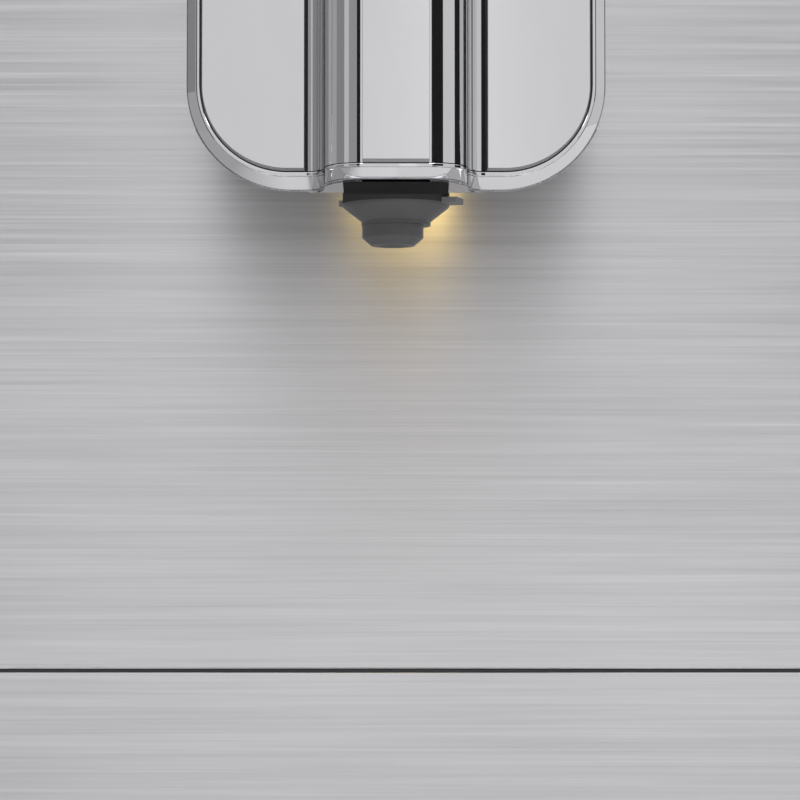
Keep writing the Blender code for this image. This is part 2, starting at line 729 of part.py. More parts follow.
def control_fascia(paint):
    """The slanted glossy front above the steel panel."""
    outline = [
        (PANEL_Y, FASCIA_BOTTOM), (PANEL_Y + FASCIA_ACROSS, FASCIA_BOTTOM),
        (PANEL_Y + FASCIA_RUN + FASCIA_ACROSS, FASCIA_TOP), (PANEL_Y + FASCIA_RUN, FASCIA_TOP),
    ]
    plate = prism(outline, 0, -HALF, HALF)
    standoffs = []
    for side in (-1, 1):
        x = side * (BOARD_HALF - BOARD_STANDOFF * 2)
        for z in (BOARD_MARGIN + BOARD_STANDOFF, FASCIA_LENGTH - BOARD_MARGIN - BOARD_STANDOFF):
            standoffs.append(
                rod(BOARD_STANDOFF, FASCIA_THICKNESS / 2, BOARD_FRONT - FIT, (x, 0, z), SMALL_ROUND, "Y")
            )
    window = block(
        (-DISPLAY_WIDTH / 2 - FIT, -OVERRUN, FASCIA_MIDDLE - DISPLAY_HEIGHT / 2 - FIT),
        (DISPLAY_WIDTH / 2 + FIT, DISPLAY_DEPTH + FIT, FASCIA_MIDDLE + DISPLAY_HEIGHT / 2 + FIT),
    )
    holes = [
        button_prism(place, BUTTON_SIZE / 2 + RUNNING, -OVERRUN, FASCIA_THICKNESS + OVERRUN)
        for place in BUTTON_PLACES.values()
    ]
    shaft = rod(
        SHAFT_RADIUS + RUNNING, -OVERRUN, FASCIA_THICKNESS + OVERRUN, (KNOB_X, 0, FASCIA_MIDDLE),
        SMALL_ROUND, "Y",
    )
    cut = on_fascia(together([window, shaft, *holes]))
    piece("control_fascia", paint, [plate, on_fascia(together(standoffs))], [cut])


def button_prism(place, half, start, end):
    """A rounded square through the fascia."""
    low = (place[0] - half, place[1] - half)
    high = (place[0] + half, place[1] + half)
    return prism(rounded(low, high, [BUTTON_CORNER] * 4, BUTTON_STEPS), 1, start, end)


def display_window(paint):
    """The flush window over the display."""
    low = (-DISPLAY_WIDTH / 2, 0, FASCIA_MIDDLE - DISPLAY_HEIGHT / 2)
    high = (DISPLAY_WIDTH / 2, DISPLAY_DEPTH, FASCIA_MIDDLE + DISPLAY_HEIGHT / 2)
    piece("display_window", paint, [on_fascia(block(low, high))])


def fascia_button(name, paint, carrier):
    """One push button, with the flange that keeps it in the fascia."""
    place = BUTTON_PLACES[name]
    back = FASCIA_THICKNESS + FIT
    cap = button_prism(place, BUTTON_SIZE / 2, -BUTTON_PROUD, back + BUTTON_FLANGE)
    flange = button_prism(
        place, BUTTON_SIZE / 2 + RUNNING + BUTTON_FLANGE, back, back + BUTTON_FLANGE
    )
    piece(name, paint, [on_fascia(cap), on_fascia(flange)], (), carrier)


def selector_knob(paint, carrier):
    """The round selector, on its shaft."""
    end = BOARD_FRONT - RUNNING
    profile = [
        (0, -KNOB_PROUD), (KNOB_RADIUS - KNOB_TAPER * 2, -KNOB_PROUD),
        (KNOB_RADIUS - KNOB_TAPER, -KNOB_PROUD + KNOB_TAPER), (KNOB_RADIUS - KNOB_TAPER / 2, -KNOB_SKIRT),
        (KNOB_RADIUS, -KNOB_SKIRT), (KNOB_RADIUS, -RUNNING), (SHAFT_RADIUS, -RUNNING), (SHAFT_RADIUS, end),
        (0, end),
    ]
    body = on_fascia(turned(profile, (KNOB_X, 0, FASCIA_MIDDLE), FINE_ROUND, "Y"))
    piece("selector_knob", paint, [body], (), carrier)


def control_board(paint):
    """The circuit board behind the fascia, with the selector's encoder."""
    low = (-BOARD_HALF, BOARD_FRONT, BOARD_MARGIN)
    high = (BOARD_HALF, BOARD_FRONT + BOARD_THICKNESS, FASCIA_LENGTH - BOARD_MARGIN)
    encoder = ring(
        SHAFT_RADIUS + RUNNING, ENCODER_HALF, BOARD_FRONT - ENCODER_DEPTH, BOARD_FRONT + BOARD_THICKNESS / 2,
        (KNOB_X, 0, FASCIA_MIDDLE), SMALL_ROUND, "Y",
    )
    piece("control_board", paint, [on_fascia(block(low, high)), on_fascia(encoder)])


# Top: deck, cup tray, hopper, chute and dial

HOPPER_X = -0.030
HOPPER_Y = 0.004
HOPPER_WIDTH = 0.100
HOPPER_DEPTH = 0.112
HOPPER_WALL = 0.0025
HOPPER_DROP = 0.048
HOPPER_FLANGE = 0.005
HOPPER_CORNER = 0.006
THROAT_RADIUS = 0.018
THROAT_WALL = 0.002
THROAT_LENGTH = 0.006
LID_THICKNESS = 0.004
LID_MARGIN = 0.001
PREGROUND_GAP = 0.006
CHUTE_Y = -0.004
CHUTE_WIDTH = 0.040
CHUTE_DEPTH = 0.036
CHUTE_DROP = 0.070
CHUTE_MOUTH = 0.016
CUP_TRAY_LOW_X_INSET = 0.014
CUP_TRAY_SIDE_INSET = 0.012
CUP_TRAY_REAR_INSET = 0.012
CUP_TRAY_FRONT_Y = 0.094
CUP_TRAY_THICKNESS = 0.0016
CUP_SLOT_WIDTH = 0.003
CUP_SLOT_PITCH = 0.009
CUP_SLOT_MARGIN = 0.012
DIAL_GAP = 0.011
DIAL_RADIUS = 0.014
DIAL_KEEPER = 0.0015

DECK_FRONT = PANEL_Y + FASCIA_RUN
DIAL_X = HOPPER_X - HOPPER_WIDTH / 2 - HOPPER_FLANGE - DIAL_GAP - DIAL_RADIUS
CHUTE_X = HOPPER_X + HOPPER_WIDTH / 2 + 2 * HOPPER_FLANGE + PREGROUND_GAP + CHUTE_WIDTH / 2
HOPPER_FLOOR = DECK_TOP - HOPPER_DROP
FLANGE_BOTTOM = DECK_TOP + FIT
FLANGE_TOP = FLANGE_BOTTOM + HOPPER_FLANGE_THICKNESS
LID_BOTTOM = FLANGE_TOP + FIT
LID_TOP = LID_BOTTOM + LID_THICKNESS
LID_AXIS_Z = LID_BOTTOM + BARREL_RADIUS
LUG_SWING = BARREL_RADIUS * sqrt(2) + RUNNING


def deck_hole(x, y, width, depth):
    """The hole in the deck that a flanged funnel hangs in."""
    low = (x - width / 2 - RUNNING, y - depth / 2 - RUNNING, DECK_BOTTOM - OVERRUN)
    high = (x + width / 2 + RUNNING, y + depth / 2 + RUNNING, DECK_TOP + OVERRUN)
    return block(low, high)


def top_deck(paint):
    """The top cover, notched round the water tank."""
    notch_x = TANK_HIGH_X + RUNNING
    notch_y = TANK_LOW_Y - RUNNING
    outline = [
        (-HALF, DECK_FRONT), (HALF, DECK_FRONT), (HALF, BACK), (notch_x, BACK),
        (notch_x, notch_y), (-HALF, notch_y),
    ]
    plate = prism(outline, 2, DECK_BOTTOM, DECK_TOP)
    recess = slab(
        (CUP_LOW[0] - FIT, CUP_LOW[1] - FIT, DECK_TOP - CUP_TRAY_THICKNESS - FIT),
        (CUP_HIGH[0] + FIT, CUP_HIGH[1] + FIT, DECK_TOP + OVERRUN), HOPPER_CORNER,
    )
    dial = rod(
        SHAFT_RADIUS + RUNNING, DECK_BOTTOM - OVERRUN, DECK_TOP + OVERRUN, (DIAL_X, HOPPER_Y, 0), SMALL_ROUND
    )
    holes = [
        deck_hole(HOPPER_X, HOPPER_Y, HOPPER_WIDTH, HOPPER_DEPTH),
        deck_hole(CHUTE_X, CHUTE_Y, CHUTE_WIDTH, CHUTE_DEPTH),
        dial,
        recess,
    ]
    piece("top_deck", paint, [plate], [together(holes)])


CUP_LOW = (TANK_HIGH_X + CUP_TRAY_LOW_X_INSET, CUP_TRAY_FRONT_Y)
CUP_HIGH = (HALF - CUP_TRAY_SIDE_INSET, BACK - CUP_TRAY_REAR_INSET)


def cup_tray(paint):
    """The slotted steel plate that cups are warmed on."""
    plate = slab((*CUP_LOW, DECK_TOP - CUP_TRAY_THICKNESS), (*CUP_HIGH, DECK_TOP), HOPPER_CORNER)
    count = int((CUP_HIGH[0] - CUP_LOW[0] - 2 * CUP_SLOT_MARGIN) / CUP_SLOT_PITCH) + 1
    middle = (CUP_LOW[0] + CUP_HIGH[0]) / 2
    slots = []
    for i in range(count):
        x = middle + (i - (count - 1) / 2) * CUP_SLOT_PITCH
        slots.append(
            slot(
                x, CUP_LOW[1] + CUP_SLOT_MARGIN, CUP_HIGH[1] - CUP_SLOT_MARGIN, CUP_SLOT_WIDTH / 2,
                DECK_TOP - CUP_TRAY_THICKNESS - OVERRUN, DECK_TOP + OVERRUN,
            )
        )
    piece("cup_tray", paint, [plate], [together(slots)])


def rectangle(x, y, width, depth, z):
    """Four corners of a level rectangle round a point."""
    return [
        (x - width / 2, y - depth / 2, z), (x + width / 2, y - depth / 2, z),
        (x + width / 2, y + depth / 2, z), (x - width / 2, y + depth / 2, z),
    ]


def lid_hinge_y(y, depth):
    """The hinge line of a lid, behind the mouth that it covers."""
    return y + depth / 2 + HOPPER_FLANGE + BARREL_RADIUS


def flanged_funnel(x, y, width, depth, floor, mouth):
    """A four sided funnel with a flange on the deck, and the shapes to cut out of it."""
    hinge = lid_hinge_y(y, depth)
    flange = slab(
        (x - width / 2 - HOPPER_FLANGE, y - depth / 2 - HOPPER_FLANGE, FLANGE_BOTTOM),
        (x + width / 2 + HOPPER_FLANGE, hinge + BARREL_RADIUS, FLANGE_TOP), HOPPER_CORNER,
    )
    narrow = 2 * HOPPER_WALL
    room = 2 * RUNNING
    outer = bridged(
        rectangle(x, y, mouth, mouth, floor),
        rectangle(x, y, width - room, depth - room, FLANGE_BOTTOM + HOPPER_FLANGE_THICKNESS / 2),
    )
    inner = bridged(
        rectangle(x, y, mouth - narrow, mouth - narrow, floor + HOPPER_WALL),
        rectangle(x, y, width - narrow, depth - narrow, FLANGE_TOP + OVERRUN),
    )
    lugs = [
        lid_lug(x + side * (width / 2 + HOPPER_FLANGE - LUG_LENGTH / 2), hinge) for side in (-1, 1)
    ]
    bore = rod(BORE_RADIUS, -width, width, (x, hinge, LID_AXIS_Z), SMALL_ROUND, "X")
    return [flange, outer, together(lugs)], [inner, bore]


def lid_lug(x, hinge):
    """One lug of a lid hinge."""
    low = (x - LUG_LENGTH / 2, hinge - BARREL_RADIUS, FLANGE_TOP - HOPPER_FLANGE_THICKNESS / 2)
    high = (x + LUG_LENGTH / 2, hinge + BARREL_RADIUS, LID_AXIS_Z + BARREL_RADIUS)
    return block(low, high)


def lid_shapes(x, y, width, depth):
    """A lid over a funnel: its plate, its hinge barrel and the pins at the barrel's ends."""
    hinge = lid_hinge_y(y, depth)
    edge = width / 2 + HOPPER_FLANGE
    half = edge - LUG_LENGTH - RUNNING
    centre = (x, hinge, LID_AXIS_Z)
    plate = slab(
        (x - edge + LID_MARGIN, y - depth / 2 - HOPPER_FLANGE + LID_MARGIN, LID_BOTTOM),
        (x + edge - LID_MARGIN, hinge - LUG_SWING, LID_TOP), HOPPER_CORNER,
    )
    tongue = block((x - half, hinge - 2 * LUG_SWING, LID_BOTTOM), (x + half, hinge, LID_AXIS_Z))
    barrel = rod(BARREL_RADIUS, -half, half, centre, SMALL_ROUND, "X")
    pin = rod(PIN_RADIUS, -edge, edge, centre, SMALL_ROUND, "X")
    return [plate, tongue, barrel, pin]


def bean_hopper(paint):
    """The bean hopper, a funnel with a spigot that sits in the grinder's neck."""
    mouth = 2 * (THROAT_RADIUS + THROAT_WALL + HOPPER_WALL)
    shapes, cuts = flanged_funnel(HOPPER_X, HOPPER_Y, HOPPER_WIDTH, HOPPER_DEPTH, HOPPER_FLOOR, mouth)
    centre = (HOPPER_X, HOPPER_Y, 0)
    end = HOPPER_FLOOR - THROAT_LENGTH
    spigot = rod(THROAT_RADIUS + THROAT_WALL, end, HOPPER_FLOOR + HOPPER_WALL / 2, centre)
    throat = rod(THROAT_RADIUS, end - OVERRUN, HOPPER_FLOOR + HOPPER_WALL + OVERRUN, centre)
    piece("bean_hopper", paint, shapes + [spigot], cuts + [throat])


def preground_chute(paint):
    """The chute for ground coffee, open below over the brewing unit."""
    floor = DECK_TOP - CHUTE_DROP
    shapes, cuts = flanged_funnel(CHUTE_X, CHUTE_Y, CHUTE_WIDTH, CHUTE_DEPTH, floor, CHUTE_MOUTH)
    half = CHUTE_MOUTH / 2 - HOPPER_WALL
    mouth = block(
        (CHUTE_X - half, CHUTE_Y - half, floor - OVERRUN),
        (CHUTE_X + half, CHUTE_Y + half, floor + 2 * HOPPER_WALL),
    )
    piece("preground_chute", paint, shapes, cuts + [mouth])


def deck_lid(name, paint, x, y, width, depth, carrier):
    """A hinged lid over a funnel in the deck."""
    piece(name, paint, lid_shapes(x, y, width, depth), (), carrier)


def grind_dial(paint, carrier):
    """The dial that sets the grind, kept in the deck by a disc below."""
    keeper = DECK_BOTTOM - FIT
    profile = [
        (0, keeper - DIAL_KEEPER), (SHAFT_RADIUS + DIAL_KEEPER, keeper - DIAL_KEEPER),
        (SHAFT_RADIUS + DIAL_KEEPER, keeper), (SHAFT_RADIUS, keeper), (SHAFT_RADIUS, DECK_TOP + FIT),
        (DIAL_RADIUS, DECK_TOP + FIT), (DIAL_RADIUS - KNOB_TAPER, LID_TOP), (0, LID_TOP),
    ]
    piece("grind_dial", paint, [turned(profile, (DIAL_X, HOPPER_Y, 0), FINE_ROUND)], (), carrier)


# Water tank

TANK_WALL = 0.0025
TANK_CORNER = 0.006
TANK_LID_THICKNESS = 0.004
VALVE_FLANGE = 0.004
VALVE_DROP = 0.012
VALVE_RISE = 0.010
VALVE_BORE = 0.003
TANK_LUG_HEIGHT = 0.008


def water_tank(paint, carrier):
    """The lift out water tank, open on top, with a hole for its valve and two hinge lugs."""
    low = (TANK_LOW_X, TANK_LOW_Y, TANK_BOTTOM)
    high = (TANK_HIGH_X, TANK_HIGH_Y, TANK_TOP)
    body = slab(low, high, TANK_CORNER)
    hollow = slab(
        tuple(c + TANK_WALL for c in low),
        (high[0] - TANK_WALL, high[1] - TANK_WALL, high[2] + OVERRUN), TANK_CORNER - TANK_WALL,
    )
    floor = TANK_BOTTOM + TANK_WALL
    hole = rod(VALVE_RADIUS + FIT, TANK_BOTTOM - OVERRUN, floor + OVERRUN, (*VALVE_PLACE, 0))
    lugs = []
    for x in (TANK_LOW_X + TANK_CORNER, TANK_HIGH_X - TANK_CORNER - LUG_LENGTH):
        lugs.append(
            block(
                (x, TANK_HINGE_Y - BARREL_RADIUS, TANK_TOP - 2 * TANK_LUG_HEIGHT),
                (x + LUG_LENGTH, TANK_HIGH_Y - TANK_WALL / 2, TANK_HINGE_Z + BARREL_RADIUS),
            )
        )
    bore = rod(BORE_RADIUS, -HALF, HALF, (0, TANK_HINGE_Y, TANK_HINGE_Z), SMALL_ROUND, "X")
    thing = piece("water_tank", paint, [body], [hollow, hole], carrier)
    worked(thing, together(lugs), "UNION")
    worked(thing, bore, "DIFFERENCE")


TANK_HINGE_Y = TANK_HIGH_Y - TANK_WALL - BARREL_RADIUS
TANK_LID_BOTTOM = TANK_TOP + FIT
TANK_LID_TOP = TANK_LID_BOTTOM + TANK_LID_THICKNESS
TANK_HINGE_Z = TANK_LID_BOTTOM + BARREL_RADIUS


def tank_valve(paint, carrier):
    """The valve in the tank's floor, whose nose sits in the base's socket."""
    floor = TANK_BOTTOM + TANK_WALL + FIT
    nose = TANK_BOTTOM - VALVE_DROP
    flange = VALVE_RADIUS + VALVE_FLANGE
    profile = [
        (VALVE_BORE, nose), (VALVE_RADIUS, nose), (VALVE_RADIUS, floor), (flange, floor),
        (flange, floor + TANK_WALL), (VALVE_RADIUS, floor + TANK_WALL), (VALVE_RADIUS, floor + VALVE_RISE),
        (VALVE_BORE, floor + VALVE_RISE),
    ]
    piece("tank_valve", paint, [turned(profile, (*VALVE_PLACE, 0), SMALL_ROUND)], (), carrier)


def tank_lid(paint, carrier):
    """The tank's lid, hinged at the back on its own pins."""
    first = TANK_LOW_X + TANK_CORNER + LUG_LENGTH + RUNNING
    last = TANK_HIGH_X - TANK_CORNER - LUG_LENGTH - RUNNING
    plate = slab(
        (TANK_LOW_X, TANK_LOW_Y, TANK_LID_BOTTOM),
        (TANK_HIGH_X, TANK_HINGE_Y - LUG_SWING, TANK_LID_TOP), TANK_CORNER,
    )
    tongue = block(
        (first, TANK_HINGE_Y - 2 * LUG_SWING, TANK_LID_BOTTOM), (last, TANK_HINGE_Y, TANK_HINGE_Z)
    )
    centre = (0, TANK_HINGE_Y, TANK_HINGE_Z)
    barrel = rod(BARREL_RADIUS, first, last, centre, SMALL_ROUND, "X")
    pin = rod(PIN_RADIUS, TANK_LOW_X + TANK_CORNER, TANK_HIGH_X - TANK_CORNER, centre, SMALL_ROUND, "X")
    piece("tank_lid", paint, [plate, tongue, barrel, pin], (), carrier)


# Grinder: housing, burrs, gears and motor

GRINDER_RADIUS = 0.036
GRINDER_WALL = 0.004
GRINDER_HEIGHT = 0.046
GRINDER_NECK = 0.0055
GEAR_MODULE = 0.00125
GEAR_TEETH = 36
PINION_TEETH = 14
GEAR_THICKNESS = 0.010
GEAR_BACKLASH = 0.0003
GEAR_ROOM = 0.0002
GEAR_ROOT_SHARE = 1.25
FLANK_STEPS = 3
PRESSURE_ANGLE = radians(22)
GEARBOX_PLATE = 0.004
GEARBOX_HALF = 0.034
GEARBOX_FRONT_MARGIN = 0.026
GEARBOX_GAP = 0.003
BURR_SHAFT = 0.005
MOTOR_RADIUS = 0.024
MOTOR_LENGTH = 0.080
MOTOR_CAP = 0.012
MOTOR_SHAFT = 0.0025
BURR_THICKNESS = 0.018
OUTLET_HALF = 0.010
OUTLET_HEIGHT = 0.016

NECK_TOP = HOPPER_FLOOR - FIT
HOUSING_TOP = NECK_TOP - GRINDER_NECK
HOUSING_BOTTOM = HOUSING_TOP - GRINDER_HEIGHT
GEARBOX_TOP = HOUSING_BOTTOM - FIT
GEAR_TOP = GEARBOX_TOP - GEARBOX_PLATE - GEARBOX_GAP
GEAR_BOTTOM = GEAR_TOP - GEAR_THICKNESS
GEARBOX_BOTTOM = GEAR_BOTTOM - GEARBOX_GAP - GEARBOX_PLATE
GEAR_CENTRES = GEAR_MODULE * (GEAR_TEETH + PINION_TEETH) / 2 + GEAR_ROOM
MOTOR_Y = HOPPER_Y - GEAR_CENTRES
MOTOR_TOP = GEARBOX_BOTTOM - FIT


def involute(base, radius):
    """The polar angle of an involute where it meets a radius."""
    pressure = acos(min(base / radius, 1))
    return tan(pressure) - pressure


def gear_outline(teeth, centre, turn):
    """The outline of a spur gear with involute flanks and some backlash."""
    pitch = GEAR_MODULE * teeth / 2
    base = pitch * cos(PRESSURE_ANGLE)
    tip = pitch + GEAR_MODULE
    root = pitch - GEAR_ROOT_SHARE * GEAR_MODULE
    half_tooth = pi / (2 * teeth) - GEAR_BACKLASH / (2 * pitch)
    lowest = max(base, root)
    radii = [lowest + (tip - lowest) * i / FLANK_STEPS for i in range(FLANK_STEPS + 1)]
    flank = [(radius, half_tooth + involute(base, pitch) - involute(base, radius)) for radius in radii]
    points = []
    for tooth in range(teeth):
        middle = turn + 2 * pi * tooth / teeth
        points.append((root, middle - flank[0][1]))
        points += [(radius, middle - angle) for radius, angle in flank if radius > root]
        points += [(radius, middle + angle) for radius, angle in reversed(flank) if radius > root]
        points.append((root, middle + flank[0][1]))
    return [(centre[0] + radius * cos(a), centre[1] + radius * sin(a)) for radius, a in points]


def grinder_housing(paint):
    """The grinder's bowl, with the neck that takes the hopper and the outlet to the chute."""
    centre = (HOPPER_X, HOPPER_Y, 0)
    inside = GRINDER_RADIUS - GRINDER_WALL
    neck = THROAT_RADIUS + THROAT_WALL + FIT
    floor = HOUSING_BOTTOM + GRINDER_WALL
    roof = HOUSING_TOP - GRINDER_WALL
    hole = BURR_SHAFT + RUNNING
    profile = [
        (hole, HOUSING_BOTTOM), (GRINDER_RADIUS, HOUSING_BOTTOM), (GRINDER_RADIUS, HOUSING_TOP),
        (neck + GRINDER_WALL, HOUSING_TOP), (neck + GRINDER_WALL, NECK_TOP), (neck, NECK_TOP),
        (neck, roof), (inside, roof), (inside, floor), (hole, floor),
    ]
    outlet = block(
        (HOPPER_X + inside - OVERRUN, HOPPER_Y - OUTLET_HALF, floor),
        (HOPPER_X + GRINDER_RADIUS + OVERRUN, HOPPER_Y + OUTLET_HALF, floor + OUTLET_HEIGHT),
    )
    piece("grinder_housing", paint, [turned(profile, centre)], [outlet])


BURR_OUTER = GRINDER_RADIUS - GRINDER_WALL - FIT
BURR_TOP = HOUSING_TOP - GRINDER_WALL - FIT
BURR_MOUTH = 0.017
BURR_WAIST = 0.0155
CONE_TOP = 0.008
CONE_CLEARANCE = 0.0008
BURR_DISC = 0.004


def upper_burr(paint):
    """The fixed ring burr."""
    low = BURR_TOP - BURR_THICKNESS
    profile = [(BURR_WAIST, low), (BURR_OUTER, low), (BURR_OUTER, BURR_TOP), (BURR_MOUTH, BURR_TOP)]
    piece("upper_burr", paint, [turned(profile, (HOPPER_X, HOPPER_Y, 0))])


def lower_burr(paint, carrier):
    """The turning cone burr, its carrier disc and its shaft down through the gearbox."""
    ring_bottom = BURR_TOP - BURR_THICKNESS
    cone = BURR_WAIST - CONE_CLEARANCE
    disc = BURR_OUTER - GRINDER_WALL
    disc_top = ring_bottom - CONE_CLEARANCE
    disc_low = disc_top - BURR_DISC
    end = GEARBOX_BOTTOM + GEARBOX_PLATE + FIT
    profile = [
        (0, BURR_TOP), (CONE_TOP, BURR_TOP), (cone, ring_bottom + BURR_DISC), (cone, disc_top),
        (disc, disc_top), (disc, disc_low), (BURR_SHAFT, disc_low), (BURR_SHAFT, end), (0, end),
    ]
    piece("lower_burr", paint, [turned(profile, (HOPPER_X, HOPPER_Y, 0))], (), carrier)


def burr_gear(paint, carrier):
    """The large gear on the burr's shaft."""
    outline = gear_outline(GEAR_TEETH, (HOPPER_X, HOPPER_Y), -pi / 2)
    body = prism(outline, 2, GEAR_BOTTOM, GEAR_TOP)
    bore = rod(BURR_SHAFT + FIT, GEAR_BOTTOM - OVERRUN, GEAR_TOP + OVERRUN, (HOPPER_X, HOPPER_Y, 0))
    piece("burr_gear", paint, [body], [bore], carrier)


def motor_pinion(paint, carrier):
    """The pinion and the motor's shaft."""
    outline = gear_outline(PINION_TEETH, (HOPPER_X, MOTOR_Y), pi / 2 + pi / PINION_TEETH)
    body = prism(outline, 2, GEAR_BOTTOM, GEAR_TOP)
    shaft = rod(MOTOR_SHAFT, MOTOR_TOP - MOTOR_CAP, GEAR_TOP - FIT, (HOPPER_X, MOTOR_Y, 0), SMALL_ROUND)
    piece("motor_pinion", paint, [body, shaft], (), carrier)


def gearbox(paint):
    """Two plates joined at the back, which carry the grinder above and the motor below."""
    x = HOPPER_X
    front = MOTOR_Y - GEARBOX_FRONT_MARGIN
    back = BULKHEAD_Y - FIT
    plates = [
        block((x - GEARBOX_HALF, front, z), (x + GEARBOX_HALF, back, z + GEARBOX_PLATE))
        for z in (GEARBOX_BOTTOM, GEARBOX_TOP - GEARBOX_PLATE)
    ]
    wall = block(
        (x - GEARBOX_HALF, back - GEARBOX_PLATE, GEARBOX_BOTTOM), (x + GEARBOX_HALF, back, GEARBOX_TOP)
    )
    burr_hole = rod(
        BURR_SHAFT + RUNNING, GEARBOX_TOP - GEARBOX_PLATE - OVERRUN, GEARBOX_TOP + OVERRUN, (x, HOPPER_Y, 0)
    )
    motor_hole = rod(
        MOTOR_SHAFT + RUNNING, GEARBOX_BOTTOM - OVERRUN, GEARBOX_BOTTOM + GEARBOX_PLATE + OVERRUN,
        (x, MOTOR_Y, 0), SMALL_ROUND,
    )
    piece("gearbox", paint, [*plates, wall], [together([burr_hole, motor_hole])])


def grinder_motor(paint):
    """The grinder's motor, hung under the gearbox."""
    neck = MOTOR_RADIUS - GRINDER_WALL
    low = MOTOR_TOP - MOTOR_LENGTH
    profile = [
        (0, low), (neck, low), (neck, low + GRINDER_WALL), (MOTOR_RADIUS, low + GRINDER_WALL),
        (MOTOR_RADIUS, MOTOR_TOP), (MOTOR_SHAFT + RUNNING, MOTOR_TOP),
        (MOTOR_SHAFT + RUNNING, MOTOR_TOP - MOTOR_CAP - RUNNING), (0, MOTOR_TOP - MOTOR_CAP - RUNNING),
    ]
    piece("grinder_motor", paint, [turned(profile, (HOPPER_X, MOTOR_Y, 0))])


CHUTE_FALL = 0.050
CHUTE_END_GAP = 0.002
CHUTE_WALL = 0.0015
CHUTE_HEIGHT = 0.018


def grounds_chute(paint):
    """The sloping duct from the grinder to the brewing chamber."""
    start = HOPPER_X + GRINDER_RADIUS + FIT
    top = HOUSING_BOTTOM + GRINDER_WALL + CHUTE_HEIGHT

    def mouth(x, top_z, inset):
        half = OUTLET_HALF + CHUTE_WALL - inset
        low = top_z - CHUTE_HEIGHT + inset
        high = top_z - inset
        return [
            (x, HOPPER_Y - half, low), (x, HOPPER_Y + half, low),
            (x, HOPPER_Y + half, high), (x, HOPPER_Y - half, high),
        ]

    slope = CHUTE_FALL / (CHUTE_END_X - start)
    outer = bridged(mouth(start, top, 0), mouth(CHUTE_END_X, top - CHUTE_FALL, 0))
    inner = bridged(
        mouth(start - OVERRUN, top + OVERRUN * slope, CHUTE_WALL),
        mouth(CHUTE_END_X + OVERRUN, top - CHUTE_FALL - OVERRUN * slope, CHUTE_WALL),
    )
    piece("grounds_chute", paint, [outer], [inner])


# Brewing unit

BREW_Y = 0.0
BREW_SIDE_GAP = 0.027
BREW_WALL_GAP = 0.0067
BREW_FRONT = 0.045
BREW_BACK_GAP = 0.010
BREW_BOTTOM = 0.128
BREW_PLATE = 0.006
CHAMBER_RADIUS = 0.030
CHAMBER_BORE = 0.0266
CHAMBER_FLOOR = 0.006
CHAMBER_HEIGHT = 0.040
CHAMBER_REST_SHARE = 0.36
PISTON_CLEARANCE = 0.0018
PISTON_HEIGHT = 0.015
PISTON_REACH = 0.027
PISTON_STEM = 0.009
PISTON_ENTRY = 0.012
SEAL_GROOVE = 0.0023
SEAL_HEIGHT = 0.004
SEAL_CLEARANCE = 0.0004
SPINDLE_Y = 0.042
SPINDLE_RADIUS = 0.0048
GUIDE_RADIUS = 0.0025
GUIDE_SPACING = 0.024
ARM_PLATE = 0.010
ARM_OVERHANG = 0.006
BREW_MOTOR_RADIUS = 0.017
BREW_MOTOR_HEIGHT = 0.050
BREW_MOTOR_GAP = 0.0429
SPINDLE_SOCKET = 0.006
PUCK_HOLE = 0.026

BREW_LOW_X = HOPPER_X + GRINDER_RADIUS + BREW_SIDE_GAP
BREW_HIGH_X = INNER - BREW_WALL_GAP
BREW_X = (BREW_LOW_X + BREW_HIGH_X) / 2
CHUTE_END_X = BREW_X - CHAMBER_RADIUS - CHUTE_END_GAP
BREW_LOW_Y = BREW_Y - BREW_FRONT
BREW_HIGH_Y = BULKHEAD_Y - BREW_BACK_GAP
BREW_TOP = DECK_BOTTOM - BREW_MOTOR_GAP - BREW_MOTOR_HEIGHT - FIT
BREW_CEILING = BREW_TOP - BREW_PLATE
BREW_FLOOR = BREW_BOTTOM + BREW_PLATE
PISTON_BOTTOM = BREW_CEILING - PISTON_REACH
ROD_LOW = BREW_FLOOR + FIT
COLLAR_TOP = ROD_LOW + BREW_PLATE
CHAMBER_RUN = PISTON_BOTTOM + PISTON_ENTRY - CHAMBER_HEIGHT - COLLAR_TOP
CHAMBER_BOTTOM = COLLAR_TOP + CHAMBER_RUN * CHAMBER_REST_SHARE
ROD_HIGH = BREW_CEILING - FIT


def brew_frame(paint):
    """The brewing unit's frame: a floor, a back, a top and the two guide rods between them."""
    floor = block((BREW_LOW_X, BREW_LOW_Y, BREW_BOTTOM), (BREW_HIGH_X, BREW_HIGH_Y, BREW_FLOOR))
    top = block((BREW_LOW_X, BREW_LOW_Y, BREW_CEILING), (BREW_HIGH_X, BREW_HIGH_Y, BREW_TOP))
    back = block((BREW_LOW_X, BREW_HIGH_Y - BREW_PLATE, BREW_BOTTOM), (BREW_HIGH_X, BREW_HIGH_Y, BREW_TOP))
    puck = rod(PUCK_HOLE, BREW_BOTTOM - OVERRUN, BREW_FLOOR + OVERRUN, (BREW_X, BREW_Y, 0))
    spindle = rod(
        SPINDLE_RADIUS + RUNNING, BREW_CEILING - OVERRUN, BREW_TOP + OVERRUN, (BREW_X, SPINDLE_Y, 0),
        SMALL_ROUND,
    )
    low = BREW_FLOOR - GUIDE_RADIUS
    high = BREW_CEILING + GUIDE_RADIUS
    guides = [rod(GUIDE_RADIUS, low, high, place, SMALL_ROUND) for place in guide_places()]
    piece("brew_frame", paint, [floor, top, back, together(guides)], [together([puck, spindle])])


def guide_places():
    """The axes of the two guide rods, either side of the spindle."""
    return [(BREW_X + side * GUIDE_SPACING, SPINDLE_Y, 0) for side in (-1, 1)]


